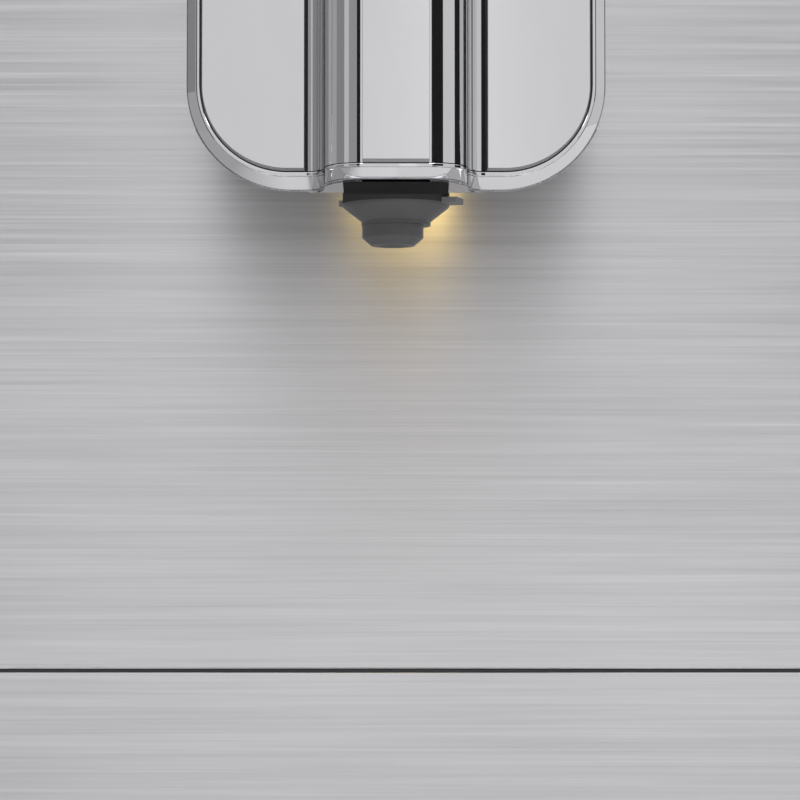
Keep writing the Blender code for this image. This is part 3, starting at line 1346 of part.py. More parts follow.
def brew_chamber(paint, carrier):
    """The cup that rises to the piston, and the arm that the spindle drives."""
    floor = CHAMBER_BOTTOM + CHAMBER_FLOOR
    top = CHAMBER_BOTTOM + CHAMBER_HEIGHT
    profile = [
        (0, CHAMBER_BOTTOM), (CHAMBER_RADIUS, CHAMBER_BOTTOM), (CHAMBER_RADIUS, top), (CHAMBER_BORE, top),
        (CHAMBER_BORE, floor), (0, floor),
    ]
    half = GUIDE_SPACING + ARM_OVERHANG
    arm = block(
        (BREW_X - half, BREW_Y + (CHAMBER_BORE + CHAMBER_RADIUS) / 2, CHAMBER_BOTTOM),
        (BREW_X + half, SPINDLE_Y + SPINDLE_RADIUS + ARM_OVERHANG / 2, CHAMBER_BOTTOM + ARM_PLATE),
    )
    low = CHAMBER_BOTTOM - OVERRUN
    high = CHAMBER_BOTTOM + ARM_PLATE + OVERRUN
    bores = [rod(GUIDE_RADIUS + FIT, low, high, place, SMALL_ROUND) for place in guide_places()]
    bores.append(rod(SPINDLE_RADIUS + FIT, low, high, (BREW_X, SPINDLE_Y, 0), SMALL_ROUND))
    cup = turned(profile, (BREW_X, BREW_Y, 0))
    piece("brew_chamber", paint, [cup, arm], [together(bores)], carrier)


PISTON_RADIUS = CHAMBER_BORE - PISTON_CLEARANCE
SEAL_BOTTOM = PISTON_BOTTOM + SEAL_HEIGHT


def brew_piston(paint):
    """The fixed piston over the chamber, grooved for its seal."""
    groove = PISTON_RADIUS - SEAL_GROOVE
    seal_top = SEAL_BOTTOM + SEAL_HEIGHT
    shoulder = PISTON_BOTTOM + PISTON_HEIGHT
    profile = [
        (0, PISTON_BOTTOM), (PISTON_RADIUS, PISTON_BOTTOM), (PISTON_RADIUS, SEAL_BOTTOM),
        (groove, SEAL_BOTTOM), (groove, seal_top), (PISTON_RADIUS, seal_top), (PISTON_RADIUS, shoulder),
        (PISTON_STEM, shoulder), (PISTON_STEM, ROD_HIGH), (0, ROD_HIGH),
    ]
    piece("brew_piston", paint, [turned(profile, (BREW_X, BREW_Y, 0))])


def piston_seal(paint):
    """The rubber ring in the piston's groove."""
    inner = PISTON_RADIUS - SEAL_GROOVE + FIT
    outer = CHAMBER_BORE - SEAL_CLEARANCE
    body = ring(inner, outer, SEAL_BOTTOM + FIT, SEAL_BOTTOM + SEAL_HEIGHT - FIT, (BREW_X, BREW_Y, 0))
    piece("piston_seal", paint, [body])


def brew_spindle(paint, carrier):
    """The spindle that lifts the chamber, from the frame's floor up into the motor."""
    end = BREW_TOP + FIT + SPINDLE_SOCKET
    collar = SPINDLE_RADIUS + GUIDE_RADIUS
    profile = [
        (0, ROD_LOW), (collar, ROD_LOW), (collar, COLLAR_TOP), (SPINDLE_RADIUS, COLLAR_TOP),
        (SPINDLE_RADIUS, end), (0, end),
    ]
    piece("brew_spindle", paint, [turned(profile, (BREW_X, SPINDLE_Y, 0), SMALL_ROUND)], (), carrier)


def brew_motor(paint):
    """The motor that turns the spindle, on the frame's top."""
    low = BREW_TOP + FIT
    socket = SPINDLE_RADIUS + FIT
    profile = [
        (socket, low), (BREW_MOTOR_RADIUS, low), (BREW_MOTOR_RADIUS, low + BREW_MOTOR_HEIGHT),
        (0, low + BREW_MOTOR_HEIGHT), (0, low + SPINDLE_SOCKET + FIT), (socket, low + SPINDLE_SOCKET + FIT),
    ]
    piece("brew_motor", paint, [turned(profile, (BREW_X, SPINDLE_Y, 0))])


# Water works and electrics

BOILER_ACROSS_SHARE = 0.45
BOILER_Y = -0.020
BOILER_RADIUS = 0.026
BOILER_HEIGHT = 0.096
BOILER_DOME = 0.008
BOILER_PORT = 0.004
BOILER_PORT_HEIGHT = 0.010
BRACKET_Z = 0.138
BRACKET_PLATE = 0.003

BOILER_X = -INNER + BOILER_ACROSS_SHARE * (INNER + HOPPER_X - MOTOR_RADIUS)


def boiler_shelf():
    """The angle on the bulkhead that the boiler stands on."""
    half = BOILER_RADIUS
    into = BULKHEAD_Y + FRAME_PLATE / 2
    shelf = block(
        (BOILER_X - half, BOILER_Y - half, BRACKET_Z), (BOILER_X + half, into, BRACKET_Z + BRACKET_PLATE)
    )
    return shelf


def boiler(paint):
    """The small steel boiler, domed at both ends."""
    low = BRACKET_Z + BRACKET_PLATE + FIT
    high = low + BOILER_HEIGHT
    shoulder = BOILER_RADIUS - BOILER_DOME
    foot = arc((shoulder, low + BOILER_DOME), (BOILER_DOME, BOILER_DOME), -pi / 2, 0)
    head = arc((shoulder, high - BOILER_DOME), (BOILER_DOME, BOILER_DOME), 0, pi / 2)
    neck = [(BOILER_PORT, high), (BOILER_PORT, high + BOILER_PORT_HEIGHT), (0, high + BOILER_PORT_HEIGHT)]
    piece("boiler", paint, [turned([(0, low), *foot, *head, *neck], (BOILER_X, BOILER_Y, 0))])


PUMP_X = 0.055
PUMP_START = 0.112
PUMP_NIPPLE = 0.010
PUMP_NECK = 0.008
PUMP_COIL = 0.038
PUMP_NIPPLE_RADIUS = 0.004
PUMP_NECK_RADIUS = 0.010
PUMP_RADIUS = 0.019
PUMP_HEIGHT = 0.036
MOUNT_HALF = 0.022
MOUNT_RISE = 0.016
CRADLE_STRIP = 0.004

PUMP_Z = FLOOR_TOP + FIT + PUMP_HEIGHT


def pump(paint):
    """The vibration pump, lying front to back."""
    stations = [PUMP_START]
    for length in (PUMP_NIPPLE, PUMP_NECK, PUMP_COIL, PUMP_NECK, PUMP_NIPPLE):
        stations.append(stations[-1] + length)
    radii = (PUMP_NIPPLE_RADIUS, PUMP_NECK_RADIUS, PUMP_RADIUS, PUMP_NECK_RADIUS, PUMP_NIPPLE_RADIUS)
    profile = [(0, stations[0])]
    for radius, start, end in zip(radii, stations, stations[1:]):
        profile += [(radius, start), (radius, end)]
    profile.append((0, stations[-1]))
    piece("pump", paint, [turned(profile, (PUMP_X, 0, PUMP_Z), ROUND, "Y")])


def pump_cradle(paint):
    """The rubber cradle on the floor, whose two blocks hold the pump by its necks."""
    front = PUMP_START + PUMP_NIPPLE
    rear = front + PUMP_NECK + PUMP_COIL
    low = FLOOR_TOP + FIT
    blocks = []
    holes = []
    for start in (front, rear):
        blocks.append(
            block(
                (PUMP_X - MOUNT_HALF, start + FIT, low),
                (PUMP_X + MOUNT_HALF, start + PUMP_NECK - FIT, PUMP_Z + MOUNT_RISE),
            )
        )
        end = start + PUMP_NECK + OVERRUN
        holes.append(rod(PUMP_NECK_RADIUS + FIT, start - OVERRUN, end, (PUMP_X, 0, PUMP_Z), ROUND, "Y"))
    strip = block(
        (PUMP_X - MOUNT_HALF / 2, front + PUMP_NECK / 2, low),
        (PUMP_X + MOUNT_HALF / 2, rear + PUMP_NECK / 2, low + CRADLE_STRIP),
    )
    piece("pump_cradle", paint, [strip, together(blocks)], [together(holes)])


POWER_BOARD_LEFT_GAP = 0.0275
POWER_BOARD_RIGHT_GAP = 0.0177
POWER_BOARD_BOTTOM = 0.150
POWER_BOARD_HEIGHT = 0.130
RELAY_SIZE = (0.018, 0.016, 0.020)
CAPACITOR_RADIUS = 0.007
CAPACITOR_HEIGHT = 0.024
RELAY_PLACE_SHARES = ((0.15, 0.15), (0.45, 0.15))
CAPACITOR_PLACE_SHARES = ((0.25, 0.70), (0.50, 0.70), (0.75, 0.70))


def power_board(paint):
    """The power board on the back of the bulkhead, with relays and capacitors."""
    front = BULKHEAD_BACK + FIT
    back = front + BOARD_THICKNESS
    x = BAY_WALL_X + FRAME_PLATE + POWER_BOARD_LEFT_GAP
    z = POWER_BOARD_BOTTOM
    width = INNER - POWER_BOARD_RIGHT_GAP - x
    height = POWER_BOARD_HEIGHT
    board = block((x, front, z), (x + width, back, z + height))
    seat = back - BOARD_THICKNESS / 2
    parts = []
    for across_share, up_share in RELAY_PLACE_SHARES:
        left = x + width * across_share
        low = z + height * up_share
        parts.append(
            block((left, seat, low), (left + RELAY_SIZE[0], back + RELAY_SIZE[1], low + RELAY_SIZE[2]))
        )
    for across_share, up_share in CAPACITOR_PLACE_SHARES:
        centre = (x + width * across_share, 0, z + height * up_share)
        parts.append(rod(CAPACITOR_RADIUS, seat, back + CAPACITOR_HEIGHT, centre, SMALL_ROUND, "Y"))
    piece("power_board", paint, [board, together(parts)])


# Spout: the height adjustable head that the coffee runs from

SPOUT_WIDTH = 0.0634
SPOUT_STANDOFF = 0.066
SPOUT_BACK_GAP = 0.002
SPOUT_CORNER = 0.016
SPOUT_CORNER_STEPS = 8
SPOUT_TOP_CORNER = 0.006
SPOUT_RIM = 0.0022
SPOUT_LIP = 0.0029
SPOUT_SLOPE = radians(15)
SPOUT_WALL = 0.002
INLAY_DEPTH = 0.002
INLAY_GAP = 0.0004
PILASTER_HALF = 0.0137
COVE_WIDTH = 0.0028
COVE_DEPTH = 0.005
COVE_STEPS = 5
SWELL_WIDTH = 0.0047
SWELL_STEPS = 6
BULGE = 0.012
BULGE_CHEEK = 0.0003
PLATE_THICKNESS = 0.0012
PLATE_GROOVE = 0.0006
CARRIER_HALF = 0.014
SLIDER_HALF = 0.0165
SLIDER_DEPTH = 0.010
SLIDER_UNDER = 0.006
SLIDER_OVER = 0.003
RAIL_PLATE = 0.002
RAIL_START = 0.010
NOZZLE_SETBACK = 0.013
NOZZLE_DROP = 0.0071
NOZZLE_TIP_RADIUS = 0.0032
NOZZLE_COLLAR_RADIUS = 0.0046
NOZZLE_COLLAR_HEIGHT = 0.0009
NOZZLE_CONE_HEIGHT = 0.0030
NOZZLE_SHOULDER_HEIGHT = 0.0065
NOZZLE_RADIUS = 0.00785
NOZZLE_HEIGHT = 0.030
NOZZLE_BORE = 0.0016
WING_RADIUS = 0.0104
WING_WIDTH = 0.004
WING_HEIGHT = 0.0011
WING_RISE = 0.0067
WING_TURN = radians(-18)
DUCT_HALF = 0.0105
DUCT_BORE = 0.003
LIGHT_HALF = 0.009
LIGHT_DEPTH = 0.010
LIGHT_SETBACK = 0.038
LIGHT_HEIGHT = 0.004

FACE_Y = PANEL_Y - SPOUT_STANDOFF
SPOUT_BACK = PANEL_Y - SPOUT_BACK_GAP
SPOUT_HALF = SPOUT_WIDTH / 2
WEB_Y = FACE_Y + INLAY_DEPTH + FIT
CAVITY_Y = WEB_Y + SPOUT_WALL
NOZZLE_Y = FACE_Y + NOZZLE_SETBACK
INLAY_LOW = SPOUT_BOTTOM + SPOUT_LIP
INLAY_HIGH = SPOUT_TOP - SPOUT_LIP
INSIDE_HALF = SPOUT_HALF - SPOUT_RIM


def sloped(shape, only_below=None):
    """Lifts a shape towards the back as the spout's underside rises."""
    for vertex in shape.verts:
        if only_below is None or vertex.co.z < only_below:
            vertex.co.z += (vertex.co.y - FACE_Y) * tan(SPOUT_SLOPE)
    return shape


def spout_outline(half, low, high, inset):
    """The spout seen from the front, drawn in by an inset."""
    bottom = SPOUT_CORNER - inset
    top = max(SPOUT_TOP_CORNER - inset, FIT)
    return rounded((-half, low), (half, high), (bottom, bottom, top, top), SPOUT_CORNER_STEPS)


def bulge_half_outline(edge):
    """Half of the pilaster seen from above: a cove, then a swell, from its foot to its flat front."""
    cove = arc((edge, -COVE_DEPTH), (COVE_WIDTH, COVE_DEPTH), pi / 2, pi, COVE_STEPS)
    swell_start = (edge - COVE_WIDTH - SWELL_WIDTH, -COVE_DEPTH)
    swell_depth = BULGE - BULGE_CHEEK - COVE_DEPTH
    swell = arc(swell_start, (SWELL_WIDTH, swell_depth), 0, -pi / 2, SWELL_STEPS)
    return [(x, FACE_Y + y) for x, y in cove] + [(x, FACE_Y + y) for x, y in swell[1:]]


def spout_shell(paint, carrier):
    """The chromed shell: side walls, a sloping underside, a web, and lips round the pilaster's ends."""
    middle = (SPOUT_BOTTOM + SPOUT_TOP) / 2
    outer = sloped(
        prism(spout_outline(SPOUT_HALF, SPOUT_BOTTOM, SPOUT_TOP, 0), 1, FACE_Y, SPOUT_BACK), middle
    )
    half_lip = bulge_half_outline(PILASTER_HALF)
    lip_plan = [(PILASTER_HALF, FACE_Y + INLAY_DEPTH / 2), *half_lip]
    lip_plan += [(-x, y) for x, y in reversed(lip_plan)]
    lips = [
        prism(lip_plan, 2, low, low + SPOUT_LIP) for low in (SPOUT_BOTTOM, SPOUT_TOP - SPOUT_LIP)
    ]
    cavity_bottom = SPOUT_BOTTOM + SPOUT_WALL / cos(SPOUT_SLOPE)
    cavity = sloped(
        prism(
            spout_outline(SPOUT_HALF - SPOUT_WALL, cavity_bottom, SPOUT_TOP - SPOUT_WALL, SPOUT_WALL),
            1, CAVITY_Y, SPOUT_BACK + OVERRUN,
        ),
        middle,
    )
    pocket = prism(spout_outline(INSIDE_HALF, INLAY_LOW, INLAY_HIGH, SPOUT_LIP), 1, FACE_Y - OVERRUN, WEB_Y)
    nozzle_hole = rod(
        NOZZLE_RADIUS + SEAM, SPOUT_BOTTOM - OVERRUN, NOZZLE_TOP, (0, NOZZLE_Y, 0), FINE_ROUND
    )
    lens_y = FACE_Y + LIGHT_SETBACK
    light_hole = sloped(
        block(
            (-LIGHT_HALF - FIT, lens_y - FIT, SPOUT_BOTTOM - OVERRUN),
            (LIGHT_HALF + FIT, lens_y + LIGHT_DEPTH + FIT, SPOUT_BOTTOM + LIGHT_HEIGHT + OVERRUN),
        )
    )
    piece(
        "spout_shell", paint, [outer, together(lips)],
        [cavity, pocket, together([nozzle_hole, light_hole])], carrier,
    )


def spout_inlays(paint, carrier):
    """The two satin plates in the spout's front."""
    low = INLAY_LOW + INLAY_GAP
    high = INLAY_HIGH - INLAY_GAP
    outline = spout_outline(INSIDE_HALF - INLAY_GAP, low, high, SPOUT_LIP)
    for side, name in ((-1, "spout_inlay_left"), (1, "spout_inlay_right")):
        plate = prism(outline, 1, FACE_Y, FACE_Y + INLAY_DEPTH)
        left, right = span(side, -HALF, PILASTER_HALF + INLAY_GAP / 2)
        other = block(
            (left, FACE_Y - OVERRUN, SPOUT_BOTTOM), (right, FACE_Y + INLAY_DEPTH + OVERRUN, SPOUT_TOP)
        )
        piece(name, paint, [plate], [other], carrier)


def spout_pilaster(paint, carrier):
    """The chromed middle of the spout's front, with a channel for its flat plate."""
    edge = PILASTER_HALF - INLAY_GAP / 2
    front = FACE_Y - BULGE
    groove = edge - COVE_WIDTH - SWELL_WIDTH - PLATE_GROOVE / 2
    floor = front + PLATE_THICKNESS + FIT
    channel = [(groove, front + BULGE_CHEEK), (groove, floor)]
    half = [(edge, FACE_Y + INLAY_DEPTH), *bulge_half_outline(edge), *channel]
    plan = half + [(-x, y) for x, y in reversed(half)]
    body = prism(plan, 2, INLAY_LOW + FIT, INLAY_HIGH - FIT)
    piece("spout_pilaster", paint, [body], (), carrier)


def spout_plate(paint, carrier):
    """The flat plate down the middle of the spout's front."""
    half = PILASTER_HALF - COVE_WIDTH - SWELL_WIDTH - 2 * PLATE_GROOVE
    front = FACE_Y - BULGE
    body = block((-half, front, INLAY_LOW + FIT), (half, front + PLATE_THICKNESS, INLAY_HIGH - FIT))
    piece("spout_plate", paint, [body], (), carrier)


SLIDER_FRONT = PANEL_BACK + FIT
SLIDER_BACK = SLIDER_FRONT + SLIDER_DEPTH


def spout_carriage(paint, carrier):
    """The carrier inside the shell with its coffee duct, the arm through the slot and the slider."""
    core = block(
        (-CARRIER_HALF, CAVITY_Y + FIT, ARM_BOTTOM), (CARRIER_HALF, SPOUT_BACK - SPOUT_BACK_GAP, ARM_TOP)
    )
    arm = block(
        (-SLOT_HALF + RUNNING, CAVITY_Y + CARRIER_HALF, ARM_BOTTOM),
        (SLOT_HALF - RUNNING, SLIDER_FRONT + SLIDER_DEPTH / 2, ARM_TOP),
    )
    slider = block(
        (-SLIDER_HALF, SLIDER_FRONT, ARM_BOTTOM - SLIDER_UNDER),
        (SLIDER_HALF, SLIDER_BACK, ARM_TOP + SLIDER_OVER),
    )
    duct = block(
        (-DUCT_HALF, CAVITY_Y + FIT + RUNNING, DUCT_BOTTOM),
        (DUCT_HALF, NOZZLE_Y + DUCT_HALF, ARM_BOTTOM + RUNNING),
    )
    bore = rod(DUCT_BORE, DUCT_BOTTOM - OVERRUN, ARM_BOTTOM + DUCT_BORE, (0, NOZZLE_Y, 0), SMALL_ROUND)
    piece("spout_carriage", paint, [core, arm, slider, duct], [bore], carrier)


def spout_rail(paint):
    """The channel behind the panel that the slider runs in."""
    inner = SLIDER_HALF + RUNNING
    back = SLIDER_BACK + RUNNING
    low = ARM_BOTTOM - SLIDER_UNDER - SPOUT_DOWN - RAIL_START
    high = PANEL_TOP - FIT
    web = block((-inner - RAIL_PLATE, back, low), (inner + RAIL_PLATE, back + RAIL_PLATE, high))
    sides = []
    for side in (-1, 1):
        left, right = span(side, inner, inner + RAIL_PLATE)
        sides.append(block((left, SLIDER_FRONT, low), (right, back + RAIL_PLATE, high)))
    piece("spout_rail", paint, [web, *sides])


NOZZLE_TIP = SPOUT_BOTTOM - NOZZLE_DROP
NOZZLE_TOP = NOZZLE_TIP + NOZZLE_HEIGHT
DUCT_BOTTOM = NOZZLE_TOP + FIT


def nozzle(paint, carrier):
    """The dark nozzle: a barrel with two small wings, a cone and a collar."""
    collar_top = NOZZLE_TIP + NOZZLE_CONE_HEIGHT
    shoulder = NOZZLE_TIP + NOZZLE_SHOULDER_HEIGHT
    profile = [
        (NOZZLE_BORE, NOZZLE_TIP), (NOZZLE_TIP_RADIUS, NOZZLE_TIP),
        (NOZZLE_COLLAR_RADIUS, NOZZLE_TIP + NOZZLE_COLLAR_HEIGHT), (NOZZLE_COLLAR_RADIUS, collar_top),
        (NOZZLE_RADIUS, shoulder), (NOZZLE_RADIUS, NOZZLE_TOP), (NOZZLE_BORE, NOZZLE_TOP),
    ]
    body = turned(profile, (0, NOZZLE_Y, 0), FINE_ROUND)
    low = NOZZLE_TIP + WING_RISE
    wings = []
    for side in (-1, 1):
        left, right = span(side, NOZZLE_BORE * 2, WING_RADIUS)
        wings.append(block((left, -WING_WIDTH / 2, low), (right, WING_WIDTH / 2, low + WING_HEIGHT)))
    both = together(wings)
    both.transform(Matrix.Translation((0, NOZZLE_Y, 0)) @ Matrix.Rotation(WING_TURN, 4, "Z"))
    piece("nozzle", paint, [body, both], (), carrier)


def cup_light(paint, carrier):
    """The lens of the lamp that lights the cup, set in the spout's underside."""
    body = sloped(
        block(
            (-LIGHT_HALF, FACE_Y + LIGHT_SETBACK, SPOUT_BOTTOM),
            (LIGHT_HALF, FACE_Y + LIGHT_SETBACK + LIGHT_DEPTH, SPOUT_BOTTOM + LIGHT_HEIGHT),
        )
    )
    piece("cup_light", paint, [body], (), carrier)


# Assembly

COLOURS = {
    "black_plastic": ((0.020, 0.020, 0.022), 0.45, 0.0, 1.0),
    "gloss_black": ((0.008, 0.008, 0.010), 0.08, 0.0, 1.0),
    "dark_grey_plastic": ((0.085, 0.085, 0.088), 0.40, 0.0, 1.0),
    "silver_plastic": ((0.48, 0.48, 0.50), 0.30, 0.6, 1.0),
    "brushed_steel": ((0.60, 0.60, 0.62), 0.30, 1.0, 1.0),
    "chrome": ((0.78, 0.78, 0.80), 0.06, 1.0, 1.0),
    "satin_steel": ((0.66, 0.66, 0.68), 0.22, 1.0, 1.0),
    "bright_steel": ((0.62, 0.62, 0.64), 0.25, 1.0, 1.0),
    "aluminium": ((0.68, 0.68, 0.70), 0.35, 1.0, 1.0),
    "rubber": ((0.030, 0.030, 0.032), 0.80, 0.0, 1.0),
    "red_plastic": ((0.55, 0.03, 0.02), 0.35, 0.0, 1.0),
    "clear_smoke": ((0.22, 0.23, 0.25), 0.10, 0.0, 0.45),
    "white_plastic": ((0.70, 0.70, 0.68), 0.40, 0.0, 1.0),
    "circuit_green": ((0.03, 0.16, 0.07), 0.50, 0.0, 1.0),
    "brass": ((0.70, 0.52, 0.22), 0.30, 1.0, 1.0),
    "warm_lens": ((1.00, 0.86, 0.55), 0.20, 0.0, 1.0),
}


def build():
    for thing in list(bpy.data.objects):
        bpy.data.objects.remove(thing, do_unlink=True)
    paint = {name: painted(name, *look) for name, look in COLOURS.items()}

    base_frame(paint["black_plastic"])
    tray_axis = axis_empty("drip_tray_axis", (0, TRAY_LOW_Y, TRAY_BOTTOM))
    drip_tray(paint["black_plastic"], tray_axis)
    tray_trim(paint["brushed_steel"], tray_axis)
    grid_axis = axis_empty("drip_grid_axis", (0, GRID_LOW_Y, GRID_TOP))
    drip_grid(paint["brushed_steel"], grid_axis)
    float_axis = axis_empty("float_axis", (*FLOAT_PLACE, GRID_TOP))
    float_indicator(paint["red_plastic"], float_axis)
    drawer_axis = axis_empty("grounds_drawer_axis", (0, PANEL_Y, DRAWER_BOTTOM))
    grounds_drawer(paint["dark_grey_plastic"], drawer_axis)
    drawer_front(paint["brushed_steel"], drawer_axis)

    front_panel(paint["brushed_steel"])
    left_side_panel(paint["black_plastic"])
    right_side_panel(paint["black_plastic"])
    door_axis = axis_empty("service_door_axis", (DOOR_HINGE_X, DOOR_HINGE_Y, DOOR_BOTTOM))
    service_door(paint["black_plastic"], door_axis)
    rear_cover(paint["black_plastic"])
    mains_inlet(paint["black_plastic"])
    rocker_axis = axis_empty("power_switch_axis", (SWITCH_X, ROCKER_AXIS_Y, INLET_Z))
    power_switch(paint["dark_grey_plastic"], rocker_axis)
    inner_frame(paint["dark_grey_plastic"])

    control_fascia(paint["gloss_black"])
    display_window(paint["gloss_black"])
    for name, (x, z) in BUTTON_PLACES.items():
        carrier = axis_empty(name + "_axis", FASCIA_FRAME @ Vector((x, 0, z)))
        fascia_button(name, paint["silver_plastic"], carrier)
    knob_axis = axis_empty("selector_knob_axis", FASCIA_FRAME @ Vector((KNOB_X, 0, FASCIA_MIDDLE)))
    selector_knob(paint["chrome"], knob_axis)
    control_board(paint["circuit_green"])

    top_deck(paint["black_plastic"])
    cup_tray(paint["brushed_steel"])
    bean_hopper(paint["clear_smoke"])
    preground_chute(paint["black_plastic"])
    lids = (
        ("hopper", (HOPPER_X, HOPPER_Y, HOPPER_WIDTH, HOPPER_DEPTH), "clear_smoke"),
        ("preground", (CHUTE_X, CHUTE_Y, CHUTE_WIDTH, CHUTE_DEPTH), "black_plastic"),
    )
    for name, place, look in lids:
        hinge = (place[0], lid_hinge_y(place[1], place[3]), LID_AXIS_Z)
        deck_lid(name + "_lid", paint[look], *place, axis_empty(name + "_lid_axis", hinge))
    grind_dial(paint["silver_plastic"], axis_empty("grind_dial_axis", (DIAL_X, HOPPER_Y, DECK_TOP)))

    tank_axis = axis_empty("water_tank_axis", (TANK_LOW_X, TANK_LOW_Y, TANK_BOTTOM))
    water_tank(paint["clear_smoke"], tank_axis)
    tank_valve(paint["white_plastic"], tank_axis)
    tank_lid(paint["black_plastic"], axis_empty("tank_lid_axis", (TANK_LOW_X, TANK_HINGE_Y, TANK_HINGE_Z)))

    grinder_housing(paint["dark_grey_plastic"])
    upper_burr(paint["bright_steel"])
    burr_axis = axis_empty("burr_axis", (HOPPER_X, HOPPER_Y, GEAR_BOTTOM))
    lower_burr(paint["bright_steel"], burr_axis)
    burr_gear(paint["white_plastic"], burr_axis)
    motor_pinion(paint["brass"], axis_empty("motor_axis", (HOPPER_X, MOTOR_Y, GEAR_BOTTOM)))
    gearbox(paint["dark_grey_plastic"])
    grinder_motor(paint["bright_steel"])
    grounds_chute(paint["black_plastic"])

    brew_frame(paint["dark_grey_plastic"])
    chamber_axis = axis_empty("brew_chamber_axis", (BREW_X, BREW_Y, CHAMBER_BOTTOM))
    brew_chamber(paint["white_plastic"], chamber_axis)
    brew_piston(paint["white_plastic"])
    piston_seal(paint["rubber"])
    brew_spindle(paint["bright_steel"], axis_empty("brew_spindle_axis", (BREW_X, SPINDLE_Y, ROD_LOW)))
    brew_motor(paint["bright_steel"])

    boiler(paint["aluminium"])
    pump(paint["brass"])
    pump_cradle(paint["rubber"])
    power_board(paint["circuit_green"])

    spout_axis = axis_empty("spout_axis", (0, SLIDER_FRONT, ARM_BOTTOM))
    spout_carriage(paint["black_plastic"], spout_axis)
    spout_shell(paint["chrome"], spout_axis)
    spout_inlays(paint["satin_steel"], spout_axis)
    spout_pilaster(paint["chrome"], spout_axis)
    spout_plate(paint["satin_steel"], spout_axis)
    nozzle(paint["dark_grey_plastic"], spout_axis)
    cup_light(paint["warm_lens"], spout_axis)
    spout_rail(paint["bright_steel"])


build()
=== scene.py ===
"""The looks of a bean to cup coffee machine, around its solid parts, in metres, +Z up."""

import json
from math import cos, pi, radians, sin, tan

import bmesh
import bpy
from mathutils import Matrix, Vector

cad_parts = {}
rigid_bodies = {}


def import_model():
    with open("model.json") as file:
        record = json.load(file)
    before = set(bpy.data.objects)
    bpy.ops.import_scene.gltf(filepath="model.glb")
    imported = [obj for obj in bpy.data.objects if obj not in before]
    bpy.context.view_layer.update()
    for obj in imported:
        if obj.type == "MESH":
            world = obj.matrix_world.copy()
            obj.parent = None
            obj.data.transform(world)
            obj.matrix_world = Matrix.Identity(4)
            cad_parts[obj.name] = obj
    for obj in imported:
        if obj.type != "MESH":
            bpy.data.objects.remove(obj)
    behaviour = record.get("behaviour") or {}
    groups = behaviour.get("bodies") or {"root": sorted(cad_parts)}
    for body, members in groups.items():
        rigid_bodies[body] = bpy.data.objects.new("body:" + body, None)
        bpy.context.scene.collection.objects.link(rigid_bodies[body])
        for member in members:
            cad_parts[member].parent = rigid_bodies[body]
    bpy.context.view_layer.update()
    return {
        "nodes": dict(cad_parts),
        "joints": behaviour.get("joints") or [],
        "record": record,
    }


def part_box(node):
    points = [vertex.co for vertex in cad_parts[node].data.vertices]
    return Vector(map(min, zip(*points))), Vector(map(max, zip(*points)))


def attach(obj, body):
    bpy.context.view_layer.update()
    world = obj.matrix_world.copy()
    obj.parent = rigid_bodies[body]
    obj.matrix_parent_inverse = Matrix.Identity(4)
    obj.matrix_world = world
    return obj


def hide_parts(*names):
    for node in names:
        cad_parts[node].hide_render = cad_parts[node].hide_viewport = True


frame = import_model()
nodes = frame["nodes"]
joints = {joint["name"]: joint for joint in frame["joints"]}


# Shapes


def block(low, high):
    """A box between two corners."""
    shape = bmesh.new()
    middle = [(a + b) / 2 for a, b in zip(low, high)]
    size = [b - a for a, b in zip(low, high)]
    bmesh.ops.create_cube(shape, matrix=Matrix.Translation(middle) @ Matrix.Diagonal((*size, 1)))
    return shape


def arc(centre, radii, start, end, steps):
    """Points of an elliptic arc from one angle to another, in radians."""
    angles = [start + (end - start) * i / steps for i in range(steps + 1)]
    return [(centre[0] + radii[0] * cos(a), centre[1] + radii[1] * sin(a)) for a in angles]


def prism(outline, start, end, frame_matrix=Matrix()):
    """An outline in X and Y, drawn out along Z, then placed by a matrix."""
    shape = bmesh.new()
    low = [shape.verts.new((x, y, start)) for x, y in outline]
    high = [shape.verts.new((x, y, end)) for x, y in outline]
    shape.faces.new(low)
    shape.faces.new(high)
    for i in range(len(low)):
        after = (i + 1) % len(low)
        shape.faces.new((low[i], low[after], high[after], high[i]))
    bmesh.ops.recalc_face_normals(shape, faces=shape.faces)
    shape.transform(frame_matrix)
    return shape


def turned(profile, steps, frame_matrix=Matrix()):
    """A closed profile of radius and height, turned about Z, then placed by a matrix."""
    shape = bmesh.new()
    rings = []
    for radius, height in profile:
        count = steps if radius else 1
        angles = [2 * pi * i / count for i in range(count)]
        rings.append([shape.verts.new((radius * cos(a), radius * sin(a), height)) for a in angles])
    for one, two in zip(rings, rings[1:] + rings[:1]):
        if len(one) == 1 and len(two) == 1:
            continue
        for i in range(steps):
            after = (i + 1) % steps
            corners = (one[i % len(one)], two[i % len(two)], two[after % len(two)], one[after % len(one)])
            shape.faces.new(list(dict.fromkeys(corners)))
    bmesh.ops.recalc_face_normals(shape, faces=shape.faces)
    shape.transform(frame_matrix)
    return shape


def rings_joined(rings, closed=False):
    """A body through rings of as many points each, its ends filled or joined to each other."""
    shape = bmesh.new()
    loops = [[shape.verts.new(point) for point in ring] for ring in rings]
    for one, two in zip(loops, loops[1:] + (loops[:1] if closed else [])):
        for i in range(len(one)):
            after = (i + 1) % len(one)
            shape.faces.new((one[i], one[after], two[after], two[i]))
    if not closed:
        shape.faces.new(loops[0])
        shape.faces.new(loops[-1])
    bmesh.ops.recalc_face_normals(shape, faces=shape.faces)
    return shape


def gathered(shapes):
    """Shapes that don't meet, as one."""
    whole = bmesh.new()
    for shape in shapes:
        mesh = bpy.data.meshes.new("part")
        shape.to_mesh(mesh)
        shape.free()
        whole.from_mesh(mesh)
        bpy.data.meshes.remove(mesh)
    return whole


